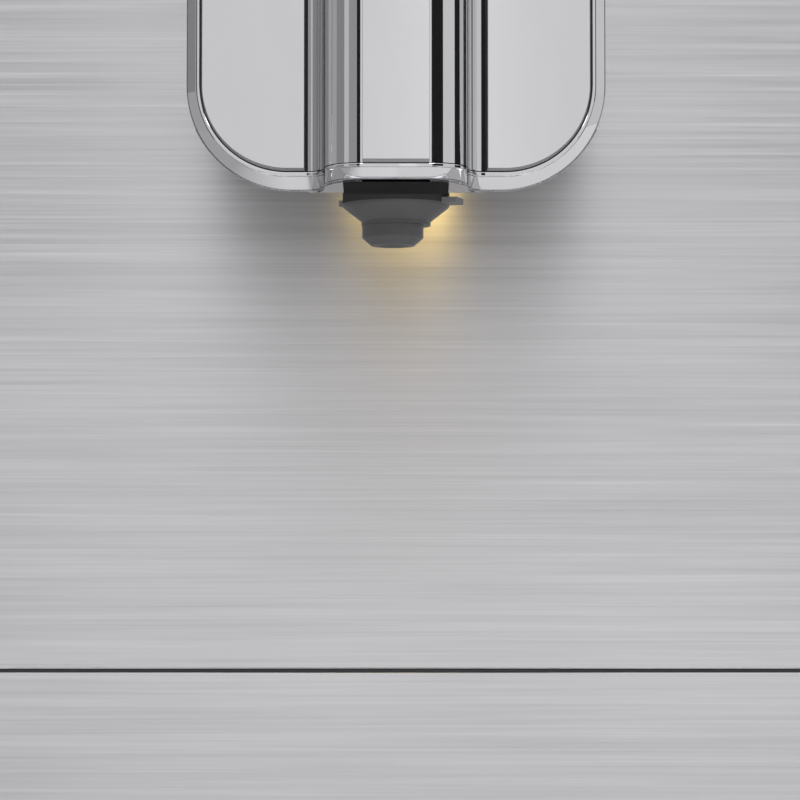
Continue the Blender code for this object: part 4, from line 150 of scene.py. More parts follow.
def placed(name, shape):
    """A shape as a new object in the scene."""
    mesh = bpy.data.meshes.new(name)
    shape.to_mesh(mesh)
    shape.free()
    thing = bpy.data.objects.new(name, mesh)
    bpy.context.scene.collection.objects.link(thing)
    return thing


SHARP = radians(35)


def made(name, shape, body, slot, paint=None, sharp=SHARP):
    """A new piece on its body, in its slot's paint or one of its own, smooth but for its sharp edges."""
    thing = placed(name, shape)
    thing.data.materials.append(paint or PAINTS[slot])
    thing.data.shade_smooth()
    thing.data.set_sharp_from_angle(angle=sharp)
    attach(thing, body)
    return thing


def cut_from(thing, shape):
    """Cuts a shape out of a piece."""
    cutter = placed(thing.name + "_cut", shape)
    step = thing.modifiers.new("Cut", "BOOLEAN")
    step.object = cutter
    step.solver = "EXACT"
    cutter.hide_render = True
    cutter.hide_viewport = True
    cutter.parent = thing.parent


# Materials

QUARTER_TURN = 0.25
NOISE_DETAIL = 3.0
NOISE_ROUGHNESS = 0.55
NOISE_LOW = 0.3
NOISE_HIGH = 0.7
# A Mix node's two colours and its result, by their place among its sockets
MIX_FIRST = 6
MIX_SECOND = 7
MIX_RESULT = 2


class Paint:
    """A Principled material and the small graph that gives its surface detail."""

    def __init__(self, name, colour, roughness, metallic=0.0, **sockets):
        self.material = bpy.data.materials.new(name)
        self.material.use_nodes = True
        self.tree = self.material.node_tree
        self.shader = self.tree.nodes["Principled BSDF"]
        self.colour = colour
        self.shader.inputs["Base Color"].default_value = (*colour, 1)
        self.shader.inputs["Roughness"].default_value = roughness
        self.shader.inputs["Metallic"].default_value = metallic
        for socket, value in sockets.items():
            self.shader.inputs[socket.replace("_", " ")].default_value = value

    def add(self, kind, settings=None, values=None):
        node = self.tree.nodes.new(kind)
        for key, value in (settings or {}).items():
            setattr(node, key, value)
        for key, value in (values or {}).items():
            node.inputs[key].default_value = value
        return node

    def link(self, output, target):
        self.tree.links.new(output, target)

    def noise(self, scale, detail=NOISE_DETAIL):
        """Noise in the piece's own coordinates, with a scale per metre for each axis."""
        place = self.add("ShaderNodeTexCoord")
        mapping = self.add("ShaderNodeMapping", values={"Scale": scale})
        texture = self.add(
            "ShaderNodeTexNoise", values={"Scale": 1.0, "Detail": detail, "Roughness": NOISE_ROUGHNESS}
        )
        self.link(place.outputs["Object"], mapping.inputs["Vector"])
        self.link(mapping.outputs["Vector"], texture.inputs["Vector"])
        return texture.outputs["Fac"]

    def ranged(self, value, low, high, start=NOISE_LOW, end=NOISE_HIGH):
        """A value spread over a range."""
        spread = self.add(
            "ShaderNodeMapRange",
            values={"From Min": start, "From Max": end, "To Min": low, "To Max": high},
        )
        self.link(value, spread.inputs["Value"])
        return spread.outputs["Result"]

    def mixed(self, parts):
        """Several values added up, each by its share."""
        total = None
        for value, share in parts:
            step = self.add("ShaderNodeMath", {"operation": "MULTIPLY_ADD"}, {1: share, 2: 0.0})
            self.link(value, step.inputs[0])
            if total is not None:
                self.link(total, step.inputs[2])
            total = step.outputs["Value"]
        return total

    def rough_from(self, value, low, high):
        self.link(self.ranged(value, low, high), self.shader.inputs["Roughness"])

    def tint_from(self, value, darkest, lightest):
        """The colour made darker and lighter by a value."""
        mix = self.add("ShaderNodeMix", {"data_type": "RGBA"})
        mix.inputs[MIX_FIRST].default_value = (*[c * darkest for c in self.colour], 1)
        mix.inputs[MIX_SECOND].default_value = (*[min(c * lightest, 1) for c in self.colour], 1)
        self.link(self.ranged(value, 0, 1), mix.inputs["Factor"])
        self.link(mix.outputs[MIX_RESULT], self.shader.inputs["Base Color"])

    def glow_along(self, kind, axis, places, strengths):
        """The glow changed evenly along an axis, from one place to another."""
        place = self.add("ShaderNodeTexCoord")
        parted = self.add("ShaderNodeSeparateXYZ")
        self.link(place.outputs[kind], parted.inputs["Vector"])
        strength = self.ranged(parted.outputs[axis], *strengths, *places)
        self.link(strength, self.shader.inputs["Emission Strength"])

    def bump_from(self, value, height):
        """Relief of a height in metres."""
        bump = self.add("ShaderNodeBump", values={"Strength": 1.0, "Distance": height})
        self.link(value, bump.inputs["Height"])
        self.link(bump.outputs["Normal"], self.shader.inputs["Normal"])


# Layers of brushing: lines a metre along and across, fineness and share
BRUSH_LAYERS = ((22, 2600, 3.0, 0.40), (12, 900, 2.0, 0.32), (5, 160, 2.0, 0.16), (14, 40, 2.0, 0.12))
BRUSH_ROUGHNESS = (-0.05, 0.05)
# Moulded plastic: its grain a metre and its relief, and the handling marks on it
GRAIN_SCALE = 1700
GRAIN_RELIEF = 0.00004
GRAIN_DETAIL = 2.0
HANDLING_SCALE = 26
HANDLING_TINT = (0.86, 1.16)
HANDLING_ROUGHNESS = (-0.06, 0.07)
# Bright surfaces: their waviness and the smears on them
WAVE_SCALE = 55
WAVE_DETAIL = 2.0
WAVE_HEIGHT = 0.000006
SMEAR_SCALE = (210, 210, 60)
SMEAR_DETAIL = 4.0
SMEAR_TINT = (0.985, 1.01)
SMEAR_ROUGHNESS = (-0.012, 0.02)
# Clear plastic and lit lenses
CLEAR_WAVE = 0.00001
CLEAR_IOR = 1.49
LENS_ROUGHNESS = 0.3
LENS_ROUGHNESS_RANGE = (0.2, 0.4)
LENS_SCALE = 400


def brushed(name, colour, roughness, along, contrast, relief, anisotropy=0.0):
    """Metal brushed along one axis: fine lines, wider bands and soft clouds."""
    paint = Paint(
        name, colour, roughness, 1.0, Anisotropic=anisotropy, Anisotropic_Rotation=QUARTER_TURN
    )
    grain = paint.mixed([
        (paint.noise([run if axis == along else across for axis in range(3)], detail), share)
        for run, across, detail, share in BRUSH_LAYERS
    ])
    paint.tint_from(grain, 1 - contrast, 1 + contrast)
    paint.rough_from(grain, *[roughness + step for step in BRUSH_ROUGHNESS])
    paint.bump_from(grain, relief)
    return paint.material


def grained(name, colour, roughness, grain=GRAIN_SCALE, relief=GRAIN_RELIEF, metallic=0.0, **sockets):
    """Moulded plastic with a fine grain and soft handling marks."""
    paint = Paint(name, colour, roughness, metallic, **sockets)
    fine = paint.noise([grain] * 3, GRAIN_DETAIL)
    soft = paint.noise([HANDLING_SCALE] * 3)
    paint.tint_from(soft, *HANDLING_TINT)
    paint.rough_from(soft, *[roughness + step for step in HANDLING_ROUGHNESS])
    paint.bump_from(fine, relief)
    return paint.material


def polished(name, colour, roughness, metallic=1.0, wave=WAVE_HEIGHT, **sockets):
    """A smooth bright surface, with the faint waviness and smears of a real one."""
    paint = Paint(name, colour, roughness, metallic, **sockets)
    wave_value = paint.noise([WAVE_SCALE] * 3, WAVE_DETAIL)
    smear = paint.noise(SMEAR_SCALE, SMEAR_DETAIL)
    paint.tint_from(smear, *SMEAR_TINT)
    paint.rough_from(smear, *[max(roughness + step, 0.0) for step in SMEAR_ROUGHNESS])
    paint.bump_from(wave_value, wave)
    return paint.material


def clear(name, colour, roughness):
    """Tinted clear plastic with faint moulding flow."""
    return polished(name, colour, roughness, 0.0, CLEAR_WAVE, Transmission_Weight=1.0, IOR=CLEAR_IOR)


def glowing(name, colour, strength, far_strength=None):
    """A lit lens, which may glow more at its far end in X, a painted shade over its near end."""
    paint = Paint(name, colour, LENS_ROUGHNESS, Emission_Color=(*colour, 1), Emission_Strength=strength)
    paint.rough_from(paint.noise([LENS_SCALE] * 3), *LENS_ROUGHNESS_RANGE)
    if far_strength:
        paint.glow_along("Generated", 0, (0, 1), (strength, far_strength))
    return paint.material


PAINTS = {
    "black_plastic": grained("black_plastic", (0.022, 0.022, 0.024), 0.46),
    "gloss_black": polished("gloss_black", (0.010, 0.010, 0.012), 0.05, 0.0, 0.000002, Coat_Weight=0.6),
    "dark_grey_plastic": grained("dark_grey_plastic", (0.066, 0.066, 0.068), 0.45, 2200, 0.00002),
    "silver_plastic": grained("silver_plastic", (0.50, 0.50, 0.52), 0.30, 3000, 0.000008, 0.7),
    "brushed_steel": brushed("brushed_steel", (0.59, 0.585, 0.60), 0.31, 0, 0.17, 0.00002, 0.7),
    "chrome": polished("chrome", (0.70, 0.70, 0.72), 0.03, 1.0, 0.000003),
    "satin_steel": polished("satin_steel", (0.72, 0.72, 0.74), 0.11, 1.0, 0.000002),
    "bright_steel": brushed("bright_steel", (0.60, 0.60, 0.62), 0.28, 0, 0.10, 0.00001),
    "aluminium": grained("aluminium", (0.68, 0.68, 0.70), 0.36, 1500, 0.00003, 1.0),
    "rubber": grained("rubber", (0.016, 0.016, 0.018), 0.78, 900, 0.00004),
    "red_plastic": polished("red_plastic", (0.55, 0.03, 0.02), 0.28, 0.0),
    "clear_smoke": clear("clear_smoke", (0.44, 0.46, 0.48), 0.02),
    "white_plastic": grained("white_plastic", (0.70, 0.70, 0.68), 0.40, 2200, 0.00002),
    "circuit_green": grained("circuit_green", (0.03, 0.16, 0.07), 0.45, 700, 0.00003),
    "brass": polished("brass", (0.70, 0.52, 0.22), 0.25),
    # The cup lamp's lens glows more towards +X: its weaker near end is painted shade beside the nozzle
    "warm_lens": glowing("warm_lens", (1.0, 0.72, 0.22), 1.8, 10.0),
}
PRINT_WHITE = grained("print_white", (0.72, 0.72, 0.73), 0.5, 3000, 0.000005)
PRINT_DARK = grained("print_dark", (0.03, 0.03, 0.035), 0.5, 3000, 0.000005)
DISPLAY_LIT = glowing("display_lit", (0.72, 0.86, 1.0), 1.1)
# Painted shade: a near-black, hardly glossy paint for the recess over the nozzle, standing in for the
# shadow under the spout's lip
PAINTED_SHADE_BLACK = grained("painted_shade_black", (0.010, 0.010, 0.011), 0.85, 900, 0.00004, Specular_IOR_Level=0.15)
# Painted shade: a dark grey for the sleeve round the nozzle's barrel, standing in for the shadow the
# spout's lip casts on it
PAINTED_SHADE_GREY = grained("painted_shade_grey", (0.038, 0.038, 0.039), 0.85, 900, 0.00004, Specular_IOR_Level=0.15)
# Painted reflection: a darker chrome for the spout's rounded rim and the lining under its lip, standing in
# for the dark surroundings they reflect
PAINTED_SHADE_CHROME = polished("painted_shade_chrome", (0.31, 0.31, 0.32), 0.12, 1.0, 0.000003)
# Painted shade and own colour: a grey for the bevels round the satin inlays and plate, standing in for the
# shade at their edges, and the nozzle lugs' own grey
PAINTED_EDGE_SHADE_AND_LUG_GREY = grained("painted_edge_shade_and_lug_grey", (0.15, 0.15, 0.16), 0.55, 3000, 0.000005)


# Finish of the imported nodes

FINE_EDGE = 0.0003
SEAM_EDGE = 0.0005
SOFT_EDGE = 0.0008
WIDE_EDGE = 0.0016
EDGES = {
    SEAM_EDGE: ("front_panel", "drawer_front"),
    WIDE_EDGE: ("left_side_panel", "right_side_panel", "top_deck", "rear_cover"),
    SOFT_EDGE: (
        "drip_tray", "base_frame", "control_fascia", "hopper_lid", "preground_lid", "tank_lid",
        "selector_knob", "grind_dial", "water_tank", "service_door",
    ),
}
EDGE_STEPS = 3
SMALL_MERGE = 0.000002
FLAT_WEIGHT = 90


def edge_of(name):
    """How far a node's edges are rounded."""
    for width, names in EDGES.items():
        if name in names:
            return width
    return FINE_EDGE


def finish_nodes():
    """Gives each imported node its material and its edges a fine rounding."""
    for row in frame["record"]["subparts"]:
        name = row["node"]
        thing = nodes[name]
        thing.data.materials.clear()
        thing.data.materials.append(PAINTS[row["material_slot"]])
        thing.data.shade_smooth()
        weld = thing.modifiers.new("Weld", "WELD")
        weld.merge_threshold = SMALL_MERGE
        bevel = thing.modifiers.new("Bevel", "BEVEL")
        bevel.width = edge_of(name)
        bevel.segments = EDGE_STEPS
        bevel.limit_method = "ANGLE"
        bevel.angle_limit = SHARP
        flat = thing.modifiers.new("Flat", "WEIGHTED_NORMAL")
        flat.weight = FLAT_WEIGHT


# Spout: the shell, the chromed middle and the nozzle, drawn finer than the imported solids

SPOUT_CORNER = 0.016
SPOUT_TOP_CORNER = 0.006
SPOUT_LIP = 0.00275
SPOUT_RIM = 0.0020
SPOUT_SLOPE = radians(15)
CORNER_STEPS = 24
BULGE_STEPS = 18
COVE_WIDTH = 0.0028
COVE_DEPTH = 0.005
BULGE_CHEEK = 0.0003
GAP = 0.0003
PLATE_GAP = 0.0001
LIP_GAP = 0.00015
SHELL_WALL = 0.002
SHELL_SHARP = radians(14)
LIP_RISE = 0.0005
LIP_THICKNESS = 0.0012
LAND_SHARE = 0.20
LAND_EDGE_SHARE = 0.03
LAND_EDGE = 0.00004
CREASE_SHARE = 0.07
CREASE_DEPTH = 0.00013
BAND_DEPTH = 0.00095
BAND_CROWN = 0.00006
BAND_STEPS = 8
BAND_TURN = radians(40)
RIM_SHARE = 0.09
RIM_DEPTH = 0.0003
RIM_STEPS = 6
LEDGE = 0.0004
JOINT = 0.00026
INLAY_BEVEL = 0.00016
INLAY_END_BEVEL = 0.00042
BEVEL_DEPTH = 0.0003
BEVEL_DROP = 0.00003
PLATE_BEVEL = 0.00005
PLATE_END_BEVEL = 0.0005
SEAL_CLEARANCE = 0.00002
SEAL_TOP = 0.0005
SEAL_BOTTOM = 0.0016
UNDERSIDE_START = 0.004
UNDERSIDE_END = 0.001
UNDERSIDE_THICKNESS = 0.0003
UNDERSIDE_TURN = radians(25)

shell_low, shell_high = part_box("spout_shell")
inlay_low, inlay_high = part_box("spout_inlay_right")
pilaster_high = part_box("spout_pilaster")[1]
plate_low, plate_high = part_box("spout_plate")
FACE_Y = inlay_low.y
BULGE = FACE_Y - plate_low.y
PILASTER_EDGE = pilaster_high.x
GROOVE = plate_high.x + PLATE_GAP
SWELL_WIDTH = PILASTER_EDGE - COVE_WIDTH - GROOVE


def bulge_half():
    """Half of the middle part seen from above, from its foot to its flat front."""
    cove = arc((PILASTER_EDGE, -COVE_DEPTH), (COVE_WIDTH, COVE_DEPTH), pi / 2, pi, BULGE_STEPS)
    radii = (SWELL_WIDTH, BULGE - BULGE_CHEEK - COVE_DEPTH)
    swell = arc((GROOVE, -COVE_DEPTH), radii, 0, -pi / 2, BULGE_STEPS)
    return [(x, FACE_Y + y) for x, y in cove + swell[1:]]


def shell_path():
    """Round the shell's front: its outer and inner outline, how far back each point lies, and its rise."""
    bulge = bulge_half()
    along = [(-x, y) for x, y in bulge] + [(x, y) for x, y in reversed(bulge)]

    def outline(half, low, high, bottom, top):
        corners = (
            (half - bottom, low + bottom, bottom, -pi / 2), (half - top, high - top, top, 0),
            (-half + top, high - top, top, pi / 2), (-half + bottom, low + bottom, bottom, pi),
        )
        turns = [arc((x, z), (r, r), start, start + pi / 2, CORNER_STEPS) for x, z, r, start in corners]
        low_run = [(x, low) for x, _ in along]
        high_run = [(-x, high) for x, _ in along]
        return low_run + turns[0] + turns[1] + high_run + turns[2] + turns[3]

    half = shell_high.x
    low, high = shell_low.z, shell_high.z
    outer = outline(half, low, high, SPOUT_CORNER, SPOUT_TOP_CORNER)
    inner = outline(
        half - SPOUT_RIM, low + SPOUT_LIP, high - SPOUT_LIP, SPOUT_CORNER - SPOUT_LIP,
        SPOUT_TOP_CORNER - SPOUT_LIP,
    )
    flat = [FACE_Y] * (2 * CORNER_STEPS + 2)
    bulged = [y for _, y in along]
    front = bulged + flat + bulged + flat
    level = [0.0] * (len(front) - len(bulged))
    rise = [LIP_RISE * (FACE_Y - y) / BULGE for y in bulged] + level
    return list(zip(outer, inner, front, rise))


def shell_section():
    """The rim from the pocket outwards: share of the way in, depth, and whether it follows the bulge."""
    web = inlay_high.y - FACE_Y + GAP
    back = shell_high.y - FACE_Y
    land = 1 - LAND_SHARE
    crease = land - CREASE_SHARE
    section = [
        (1, web, False), (1, LAND_EDGE, True), (1 - LAND_EDGE_SHARE, 0, True),
        (land + LAND_EDGE_SHARE, 0, True), (land, LAND_EDGE, True),
        ((land + crease) / 2, CREASE_DEPTH, True),
    ]
    for i in range(BAND_STEPS + 1):
        t = i / BAND_STEPS
        share = crease + (RIM_SHARE - crease) * t
        section.append((share, LAND_EDGE + BAND_DEPTH * t - 4 * BAND_CROWN * t * (1 - t), True))
    section += [
        (RIM_SHARE, rim_depth(), True), (0, rim_depth(), True), (0, ledge_depth(), False), (0, back, False),
        (1, back, False), (1, web + SHELL_WALL, False),
    ]
    return section


def rim_section():
    """The rounded rim outside the band."""
    section = [(RIM_SHARE, rim_depth(), True)]
    for i in range(RIM_STEPS + 1):
        turn = BAND_TURN + (pi / 2 - BAND_TURN) * i / RIM_STEPS
        share = RIM_SHARE * (1 - sin(turn)) / (1 - sin(BAND_TURN))
        section.append((share, LAND_EDGE + BAND_DEPTH + RIM_DEPTH * (1 - cos(turn) / cos(BAND_TURN)), True))
    return section


def rim_depth():
    """How far behind the front the rim ends."""
    return LAND_EDGE + BAND_DEPTH + RIM_DEPTH


def ledge_depth():
    """How far behind the front the shell's underside starts to rise."""
    return rim_depth() + LEDGE


def underside_rise(depth):
    """How far the underside has risen at a depth behind the front."""
    return max(depth - ledge_depth(), 0) * tan(SPOUT_SLOPE)


def spout_openings():
    """The holes of the nozzle and of the lamp in the spout's underside."""
    nozzle_low, nozzle_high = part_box("nozzle")
    lens_low, lens_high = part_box("cup_light")
    hole = turned(
        [(0, nozzle_low.z), (NOZZLE_RADIUS + GAP, nozzle_low.z), (NOZZLE_RADIUS + GAP, nozzle_high.z),
         (0, nozzle_high.z)],
        NOZZLE_STEPS, nozzle_place(),
    )
    window = block(
        (lens_low.x - GAP, lens_low.y - GAP, lens_low.z - SHELL_WALL),
        (lens_high.x + GAP, lens_high.y + GAP, lens_high.z + SHELL_WALL),
    )
    return gathered([hole, window])


def round_spout(section, closed=False):
    """A body round the spout's front, through a section of shares of the way in and depths."""
    middle = (shell_low.z + shell_high.z) / 2
    path = shell_path()
    rings = []
    for share, depth, follows in section:
        ring = []
        for outer, inner, front, rise in path:
            x, z = (o + (i - o) * share for o, i in zip(outer, inner))
            if follows:
                z += rise * (1 - share)
            elif z < middle:
                z += underside_rise(depth)
            ring.append((x, (front if follows else FACE_Y) + depth, z))
        rings.append(ring)
    return rings_joined(rings, closed)


def shell_skin():
    """The chromed shell: a land round the inlays, a fine crease, a band that slopes away, and its rim."""
    shape = round_spout(shell_section())
    skin = made("spout_shell_skin", shape, "spout", "chrome", sharp=SHELL_SHARP)
    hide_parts("spout_shell")
    cut_from(skin, spout_openings())
    # The rim is in the darker chrome, a painted dark reflection on its rounded edge
    rim = round_spout(rim_section(), True)
    made("spout_rim", rim, "spout", "chrome", PAINTED_SHADE_CHROME, SHELL_SHARP)


def bulge_underside(name, reach, thickness, slot, paint):
    """A moulding under the middle of the spout's front, behind its chromed lip."""
    back = FACE_Y + ledge_depth()
    rings = []
    lowest = shell_path()[: 2 * len(bulge_half())]
    for outer, _, front, rise in [place for place in lowest if abs(place[0][0]) < reach]:
        lip = front + rim_depth()
        start = min(lip + LIP_THICKNESS, back - GAP)
        slope = rise / (back - lip)
        ring = [
            (outer[0], start, slope * (back - start)), (outer[0], back, 0),
            (outer[0], back, -thickness), (outer[0], start, slope * (back - start) - thickness),
        ]
        rings.append([(x, y, shell_low.z + z) for x, y, z in ring])
    cover = made(name, rings_joined(rings), "spout", slot, paint)
    cut_from(cover, spout_openings())


def spout_underside():
    """The moulding under the spout, behind its chromed lip, in black plastic as painted shade: the steel
    front reflects it as the shadow under the spout.
    """
    middle = shell_high.x - SPOUT_CORNER
    z = shell_low.z + SPOUT_CORNER
    rings = []
    for depth in (UNDERSIDE_START, shell_high.y - FACE_Y - UNDERSIDE_END):
        ring = []
        for grown in (UNDERSIDE_THICKNESS, 0):
            radii = [SPOUT_CORNER + grown] * 2
            left = arc((-middle, z), radii, pi + UNDERSIDE_TURN, 3 * pi / 2, CORNER_STEPS)
            right = arc((middle, z), radii, -pi / 2, -UNDERSIDE_TURN, CORNER_STEPS)
            line = left + right
            ring += line if grown else reversed(line)
        rings.append([(x, FACE_Y + depth, height + underside_rise(depth)) for x, height in ring])
    # Black here is painted shade, seen again in the steel front as the shadow under the spout
    cover = made("spout_underside", rings_joined(rings), "spout", "black_plastic")
    cut_from(cover, spout_openings())


def inlay_outline(side, inset, end_inset):
    """An outline in an inlay's pocket, so far in from its sides and from its ends."""
    near = PILASTER_EDGE + inset
    edge = shell_high.x - SPOUT_RIM
    low = shell_low.z + SPOUT_LIP
    high = shell_high.z - SPOUT_LIP
    points = [(near, low + end_inset)]
    for radius, height, start in (
        (SPOUT_CORNER - SPOUT_LIP, low + SPOUT_CORNER - SPOUT_LIP, -pi / 2),
        (SPOUT_TOP_CORNER - SPOUT_LIP, high - SPOUT_TOP_CORNER + SPOUT_LIP, 0),
    ):
        radii = (radius - inset, radius - end_inset)
        points += arc((edge - radius, height), radii, start, start + pi / 2, CORNER_STEPS)
    points.append((near, high - end_inset))
    return [(side * x, z) for x, z in points]


def faced(piece, face, base, front, back):
    """A satin piece with a bevel round it painted grey as shade, for a node of the spout's front."""
    rings = [[(x, y, z) for x, z in face] for y in (front, back)]
    skin = made(piece + "_skin", rings_joined(rings), "spout", "satin_steel")
    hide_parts(piece)
    steps = ((face, back), (face, front + BEVEL_DROP), (base, front + BEVEL_DEPTH), (base, back))
    rings = [[(x, y, z) for x, z in outline] for outline, y in steps]
    # The bevel is grey plastic, not satin steel: painted shade at the satin face's edge
    made(piece + "_edge", rings_joined(rings, True), "spout", "dark_grey_plastic", PAINTED_EDGE_SHADE_AND_LUG_GREY)


def inlay_skins():
    """The satin inlays with their bevelled edges, and the dark seals in the joints round them."""
    for side, name in ((-1, "left"), (1, "right")):
        face = inlay_outline(side, JOINT + INLAY_BEVEL, JOINT + INLAY_END_BEVEL)
        base = inlay_outline(side, JOINT, JOINT)
        faced("spout_inlay_" + name, face, base, FACE_Y, inlay_high.y)
        outer = inlay_outline(side, SEAL_CLEARANCE, SEAL_CLEARANCE)
        inner = inlay_outline(side, JOINT - SEAL_CLEARANCE, JOINT - SEAL_CLEARANCE)
        steps = ((outer, SEAL_BOTTOM), (outer, SEAL_TOP), (inner, SEAL_TOP), (inner, SEAL_BOTTOM))
        rings = [[(x, FACE_Y + depth, z) for x, z in outline] for outline, depth in steps]
        made("inlay_seal_" + name, rings_joined(rings, True), "spout", "rubber")


def plate_skin():
    """The flat plate down the middle, bevelled at its ends."""
    gap = SPOUT_LIP + LIP_GAP
    outlines = []
    for inset, end_inset in ((PLATE_BEVEL, PLATE_END_BEVEL), (0, 0)):
        half = plate_high.x - inset
        low = shell_low.z + gap + end_inset
        high = shell_high.z - gap - end_inset
        outlines.append([(-half, low), (half, low), (half, high), (-half, high)])
    faced("spout_plate", *outlines, plate_low.y, plate_high.y)


def pilaster_skin():
    """The chromed middle of the spout's front, with a channel for its plate."""
    half = bulge_half()
    floor = plate_high.y + GAP
    half = [(PILASTER_EDGE, pilaster_high.y), *half, (GROOVE, floor)]
    plan = half + [(-x, y) for x, y in reversed(half)]
    gap = SPOUT_LIP + LIP_GAP
    shape = prism(plan, shell_low.z + gap, shell_high.z - gap)
    skin = made("spout_pilaster_skin", shape, "spout", "chrome")
    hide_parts("spout_pilaster")


NOZZLE_RADIUS = 0.0082
NOZZLE_STEPS = 96
NOZZLE_BORE = 0.0016
NOZZLE_TIP_RADIUS = 0.0033
NOZZLE_COLLAR_RADIUS = 0.0047
NOZZLE_COLLAR_LOW = 0.0010
NOZZLE_COLLAR_SHIFT = 0.0005
NOZZLE_COLLAR_HIGH = 0.0031
NOZZLE_STEP_RADIUS = 0.0053
NOZZLE_STEP_HIGH = 0.0037
NOZZLE_SHOULDER = 0.0056
NOZZLE_FILLET = 0.0007
FILLET_STEPS = 6
SLEEVE_RISE = 0.0064
SLEEVE_WALL = 0.0004
WING_REACH = 0.0102
NUB_REACH = 0.0086
WING_WIDTH = 0.004
WING_LOW = 0.0062
WING_HIGH = 0.0071
WING_TURN = radians(-18)


def nozzle_place():
    """The nozzle's upright axis."""
    low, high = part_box("nozzle")
    return Matrix.Translation(((low.x + high.x) / 2, (low.y + high.y) / 2, 0))


def nozzle_skin():
    """The nozzle: a barrel in a sleeve painted dark as the shadow of the spout's lip, a cone, a step, and a
    collar a little to their left.
    """
    low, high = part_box("nozzle")
    tip = low.z
    inside = NOZZLE_RADIUS - SLEEVE_WALL
    fillet = arc(
        (NOZZLE_RADIUS - NOZZLE_FILLET, tip + NOZZLE_SHOULDER + NOZZLE_FILLET),
        (NOZZLE_FILLET, NOZZLE_FILLET), -pi / 4, 0, FILLET_STEPS,
    )
    lip = arc(
        (NOZZLE_COLLAR_RADIUS - NOZZLE_FILLET / 2, tip + NOZZLE_COLLAR_LOW + NOZZLE_FILLET / 2),
        (NOZZLE_FILLET / 2, NOZZLE_FILLET / 2), -pi / 4, 0, FILLET_STEPS,
    )
    barrel = [
        (NOZZLE_BORE, high.z), (NOZZLE_BORE, tip + NOZZLE_COLLAR_HIGH),
        (NOZZLE_STEP_RADIUS, tip + NOZZLE_COLLAR_HIGH), (NOZZLE_STEP_RADIUS, tip + NOZZLE_STEP_HIGH),
        *fillet, (NOZZLE_RADIUS, tip + SLEEVE_RISE), (inside, tip + SLEEVE_RISE), (inside, high.z),
    ]
    collar = [
        (NOZZLE_BORE, tip + NOZZLE_STEP_HIGH), (NOZZLE_BORE, tip + NOZZLE_COLLAR_LOW / 2),
        (NOZZLE_TIP_RADIUS - NOZZLE_COLLAR_LOW / 2, tip), (NOZZLE_TIP_RADIUS, tip), *lip,
        (NOZZLE_COLLAR_RADIUS, tip + NOZZLE_STEP_HIGH),
    ]
    place = nozzle_place()
    shifted = Matrix.Translation((-NOZZLE_COLLAR_SHIFT, 0, 0)) @ place
    shape = gathered([turned(barrel, NOZZLE_STEPS, place), turned(collar, NOZZLE_STEPS, shifted)])
    skin = made("nozzle_skin", shape, "spout", "dark_grey_plastic")
    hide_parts("nozzle")
    # The sleeve's dark grey is painted shade: the shadow of the spout's lip on the top of the barrel
    wall = [
        (inside, tip + SLEEVE_RISE), (NOZZLE_RADIUS, tip + SLEEVE_RISE), (NOZZLE_RADIUS, high.z),
        (inside, high.z),
    ]
    made("nozzle_sleeve_painted_shade", turned(wall, NOZZLE_STEPS, place), "spout", "rubber", PAINTED_SHADE_GREY)


def nozzle_lugs():
    """The wing and the nub beside the nozzle's barrel."""
    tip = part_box("nozzle")[0].z
    start = NOZZLE_RADIUS - 2 * NOZZLE_FILLET
    half = WING_WIDTH / 2
    wing = block((start, -half, tip + WING_LOW), (WING_REACH, half, tip + WING_HIGH))
    nub = block((-NUB_REACH, -half, tip + WING_LOW), (-start, half, tip + WING_HIGH))
    lugs = gathered([wing, nub])
    lugs.transform(nozzle_place() @ Matrix.Rotation(WING_TURN, 4, "Z"))
    made("nozzle_lugs", lugs, "spout", "dark_grey_plastic", PAINTED_EDGE_SHADE_AND_LUG_GREY)


# Prints and small fittings

UP = Vector((0, 0, 1))
REARWARD = Vector((0, 1, 0))
FASCIA_OUT = Vector(joints["selector_turn"]["axis"])
PRINT_LOW = -0.00003
PRINT_HIGH = 0.00006
ICON_LINE = 0.0005
ICON_SIZE = 0.0036
ICON_STEPS = 24


def facing(place, outward, up=UP):
    """A frame at a place: X across, Y up, Z outward."""
    across = up.cross(outward).normalized()
    turn = Matrix((across, outward.cross(across), outward)).transposed()
    return Matrix.Translation(place) @ turn.to_4x4()


def face_frame(name, outward, up=UP, through=None):
    """A frame on a node's outermost face: X across, Y up, Z outward, over the node's middle or a point."""
    thing = nodes[name]
    reach = max((thing.matrix_world @ vertex.co).dot(outward) for vertex in thing.data.vertices)
    low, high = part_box(name)
    point = (low + high) / 2 if through is None else Vector(through)
    return facing(point + (reach - point.dot(outward)) * outward, outward, up)


def beside(points, distance, closed):
    """A drawn line moved sideways by a distance, keeping its corners."""
    line = []
    for i, point in enumerate(points):
        ways = []
        if closed or i:
            ways.append((point - points[i - 1]).normalized())
        if closed or i + 1 < len(points):
            ways.append((points[(i + 1) % len(points)] - point).normalized())
        way = sum(ways, Vector((0, 0))).normalized()
        line.append(point + distance / way.dot(ways[0]) * Vector((-way.y, way.x)))
    return line


def stroke(points, closed, line):
    """A line drawn as a thin raised print."""
    points = [Vector(point) for point in points]
    left = beside(points, line / 2, closed)
    right = beside(points, -line / 2, closed)
    if not closed:
        return prism([*left, *reversed(right)], PRINT_LOW, PRINT_HIGH)
    corners = ((left, PRINT_LOW), (left, PRINT_HIGH), (right, PRINT_HIGH), (right, PRINT_LOW))
    return rings_joined([[(*point, height) for point in side] for side, height in corners], True)


def drawn(lines, size, place, line=ICON_LINE):
    """Lines of unit size as one print."""
    whole = gathered([
        stroke([(x * size, y * size) for x, y in points], closed, line) for points, closed in lines
    ])
    whole.transform(place)
    return whole


def moved(lines, x, y, size=1.0):
    """Lines made larger or smaller, then moved."""
    return [([(x + px * size, y + py * size) for px, py in points], closed) for points, closed in lines]


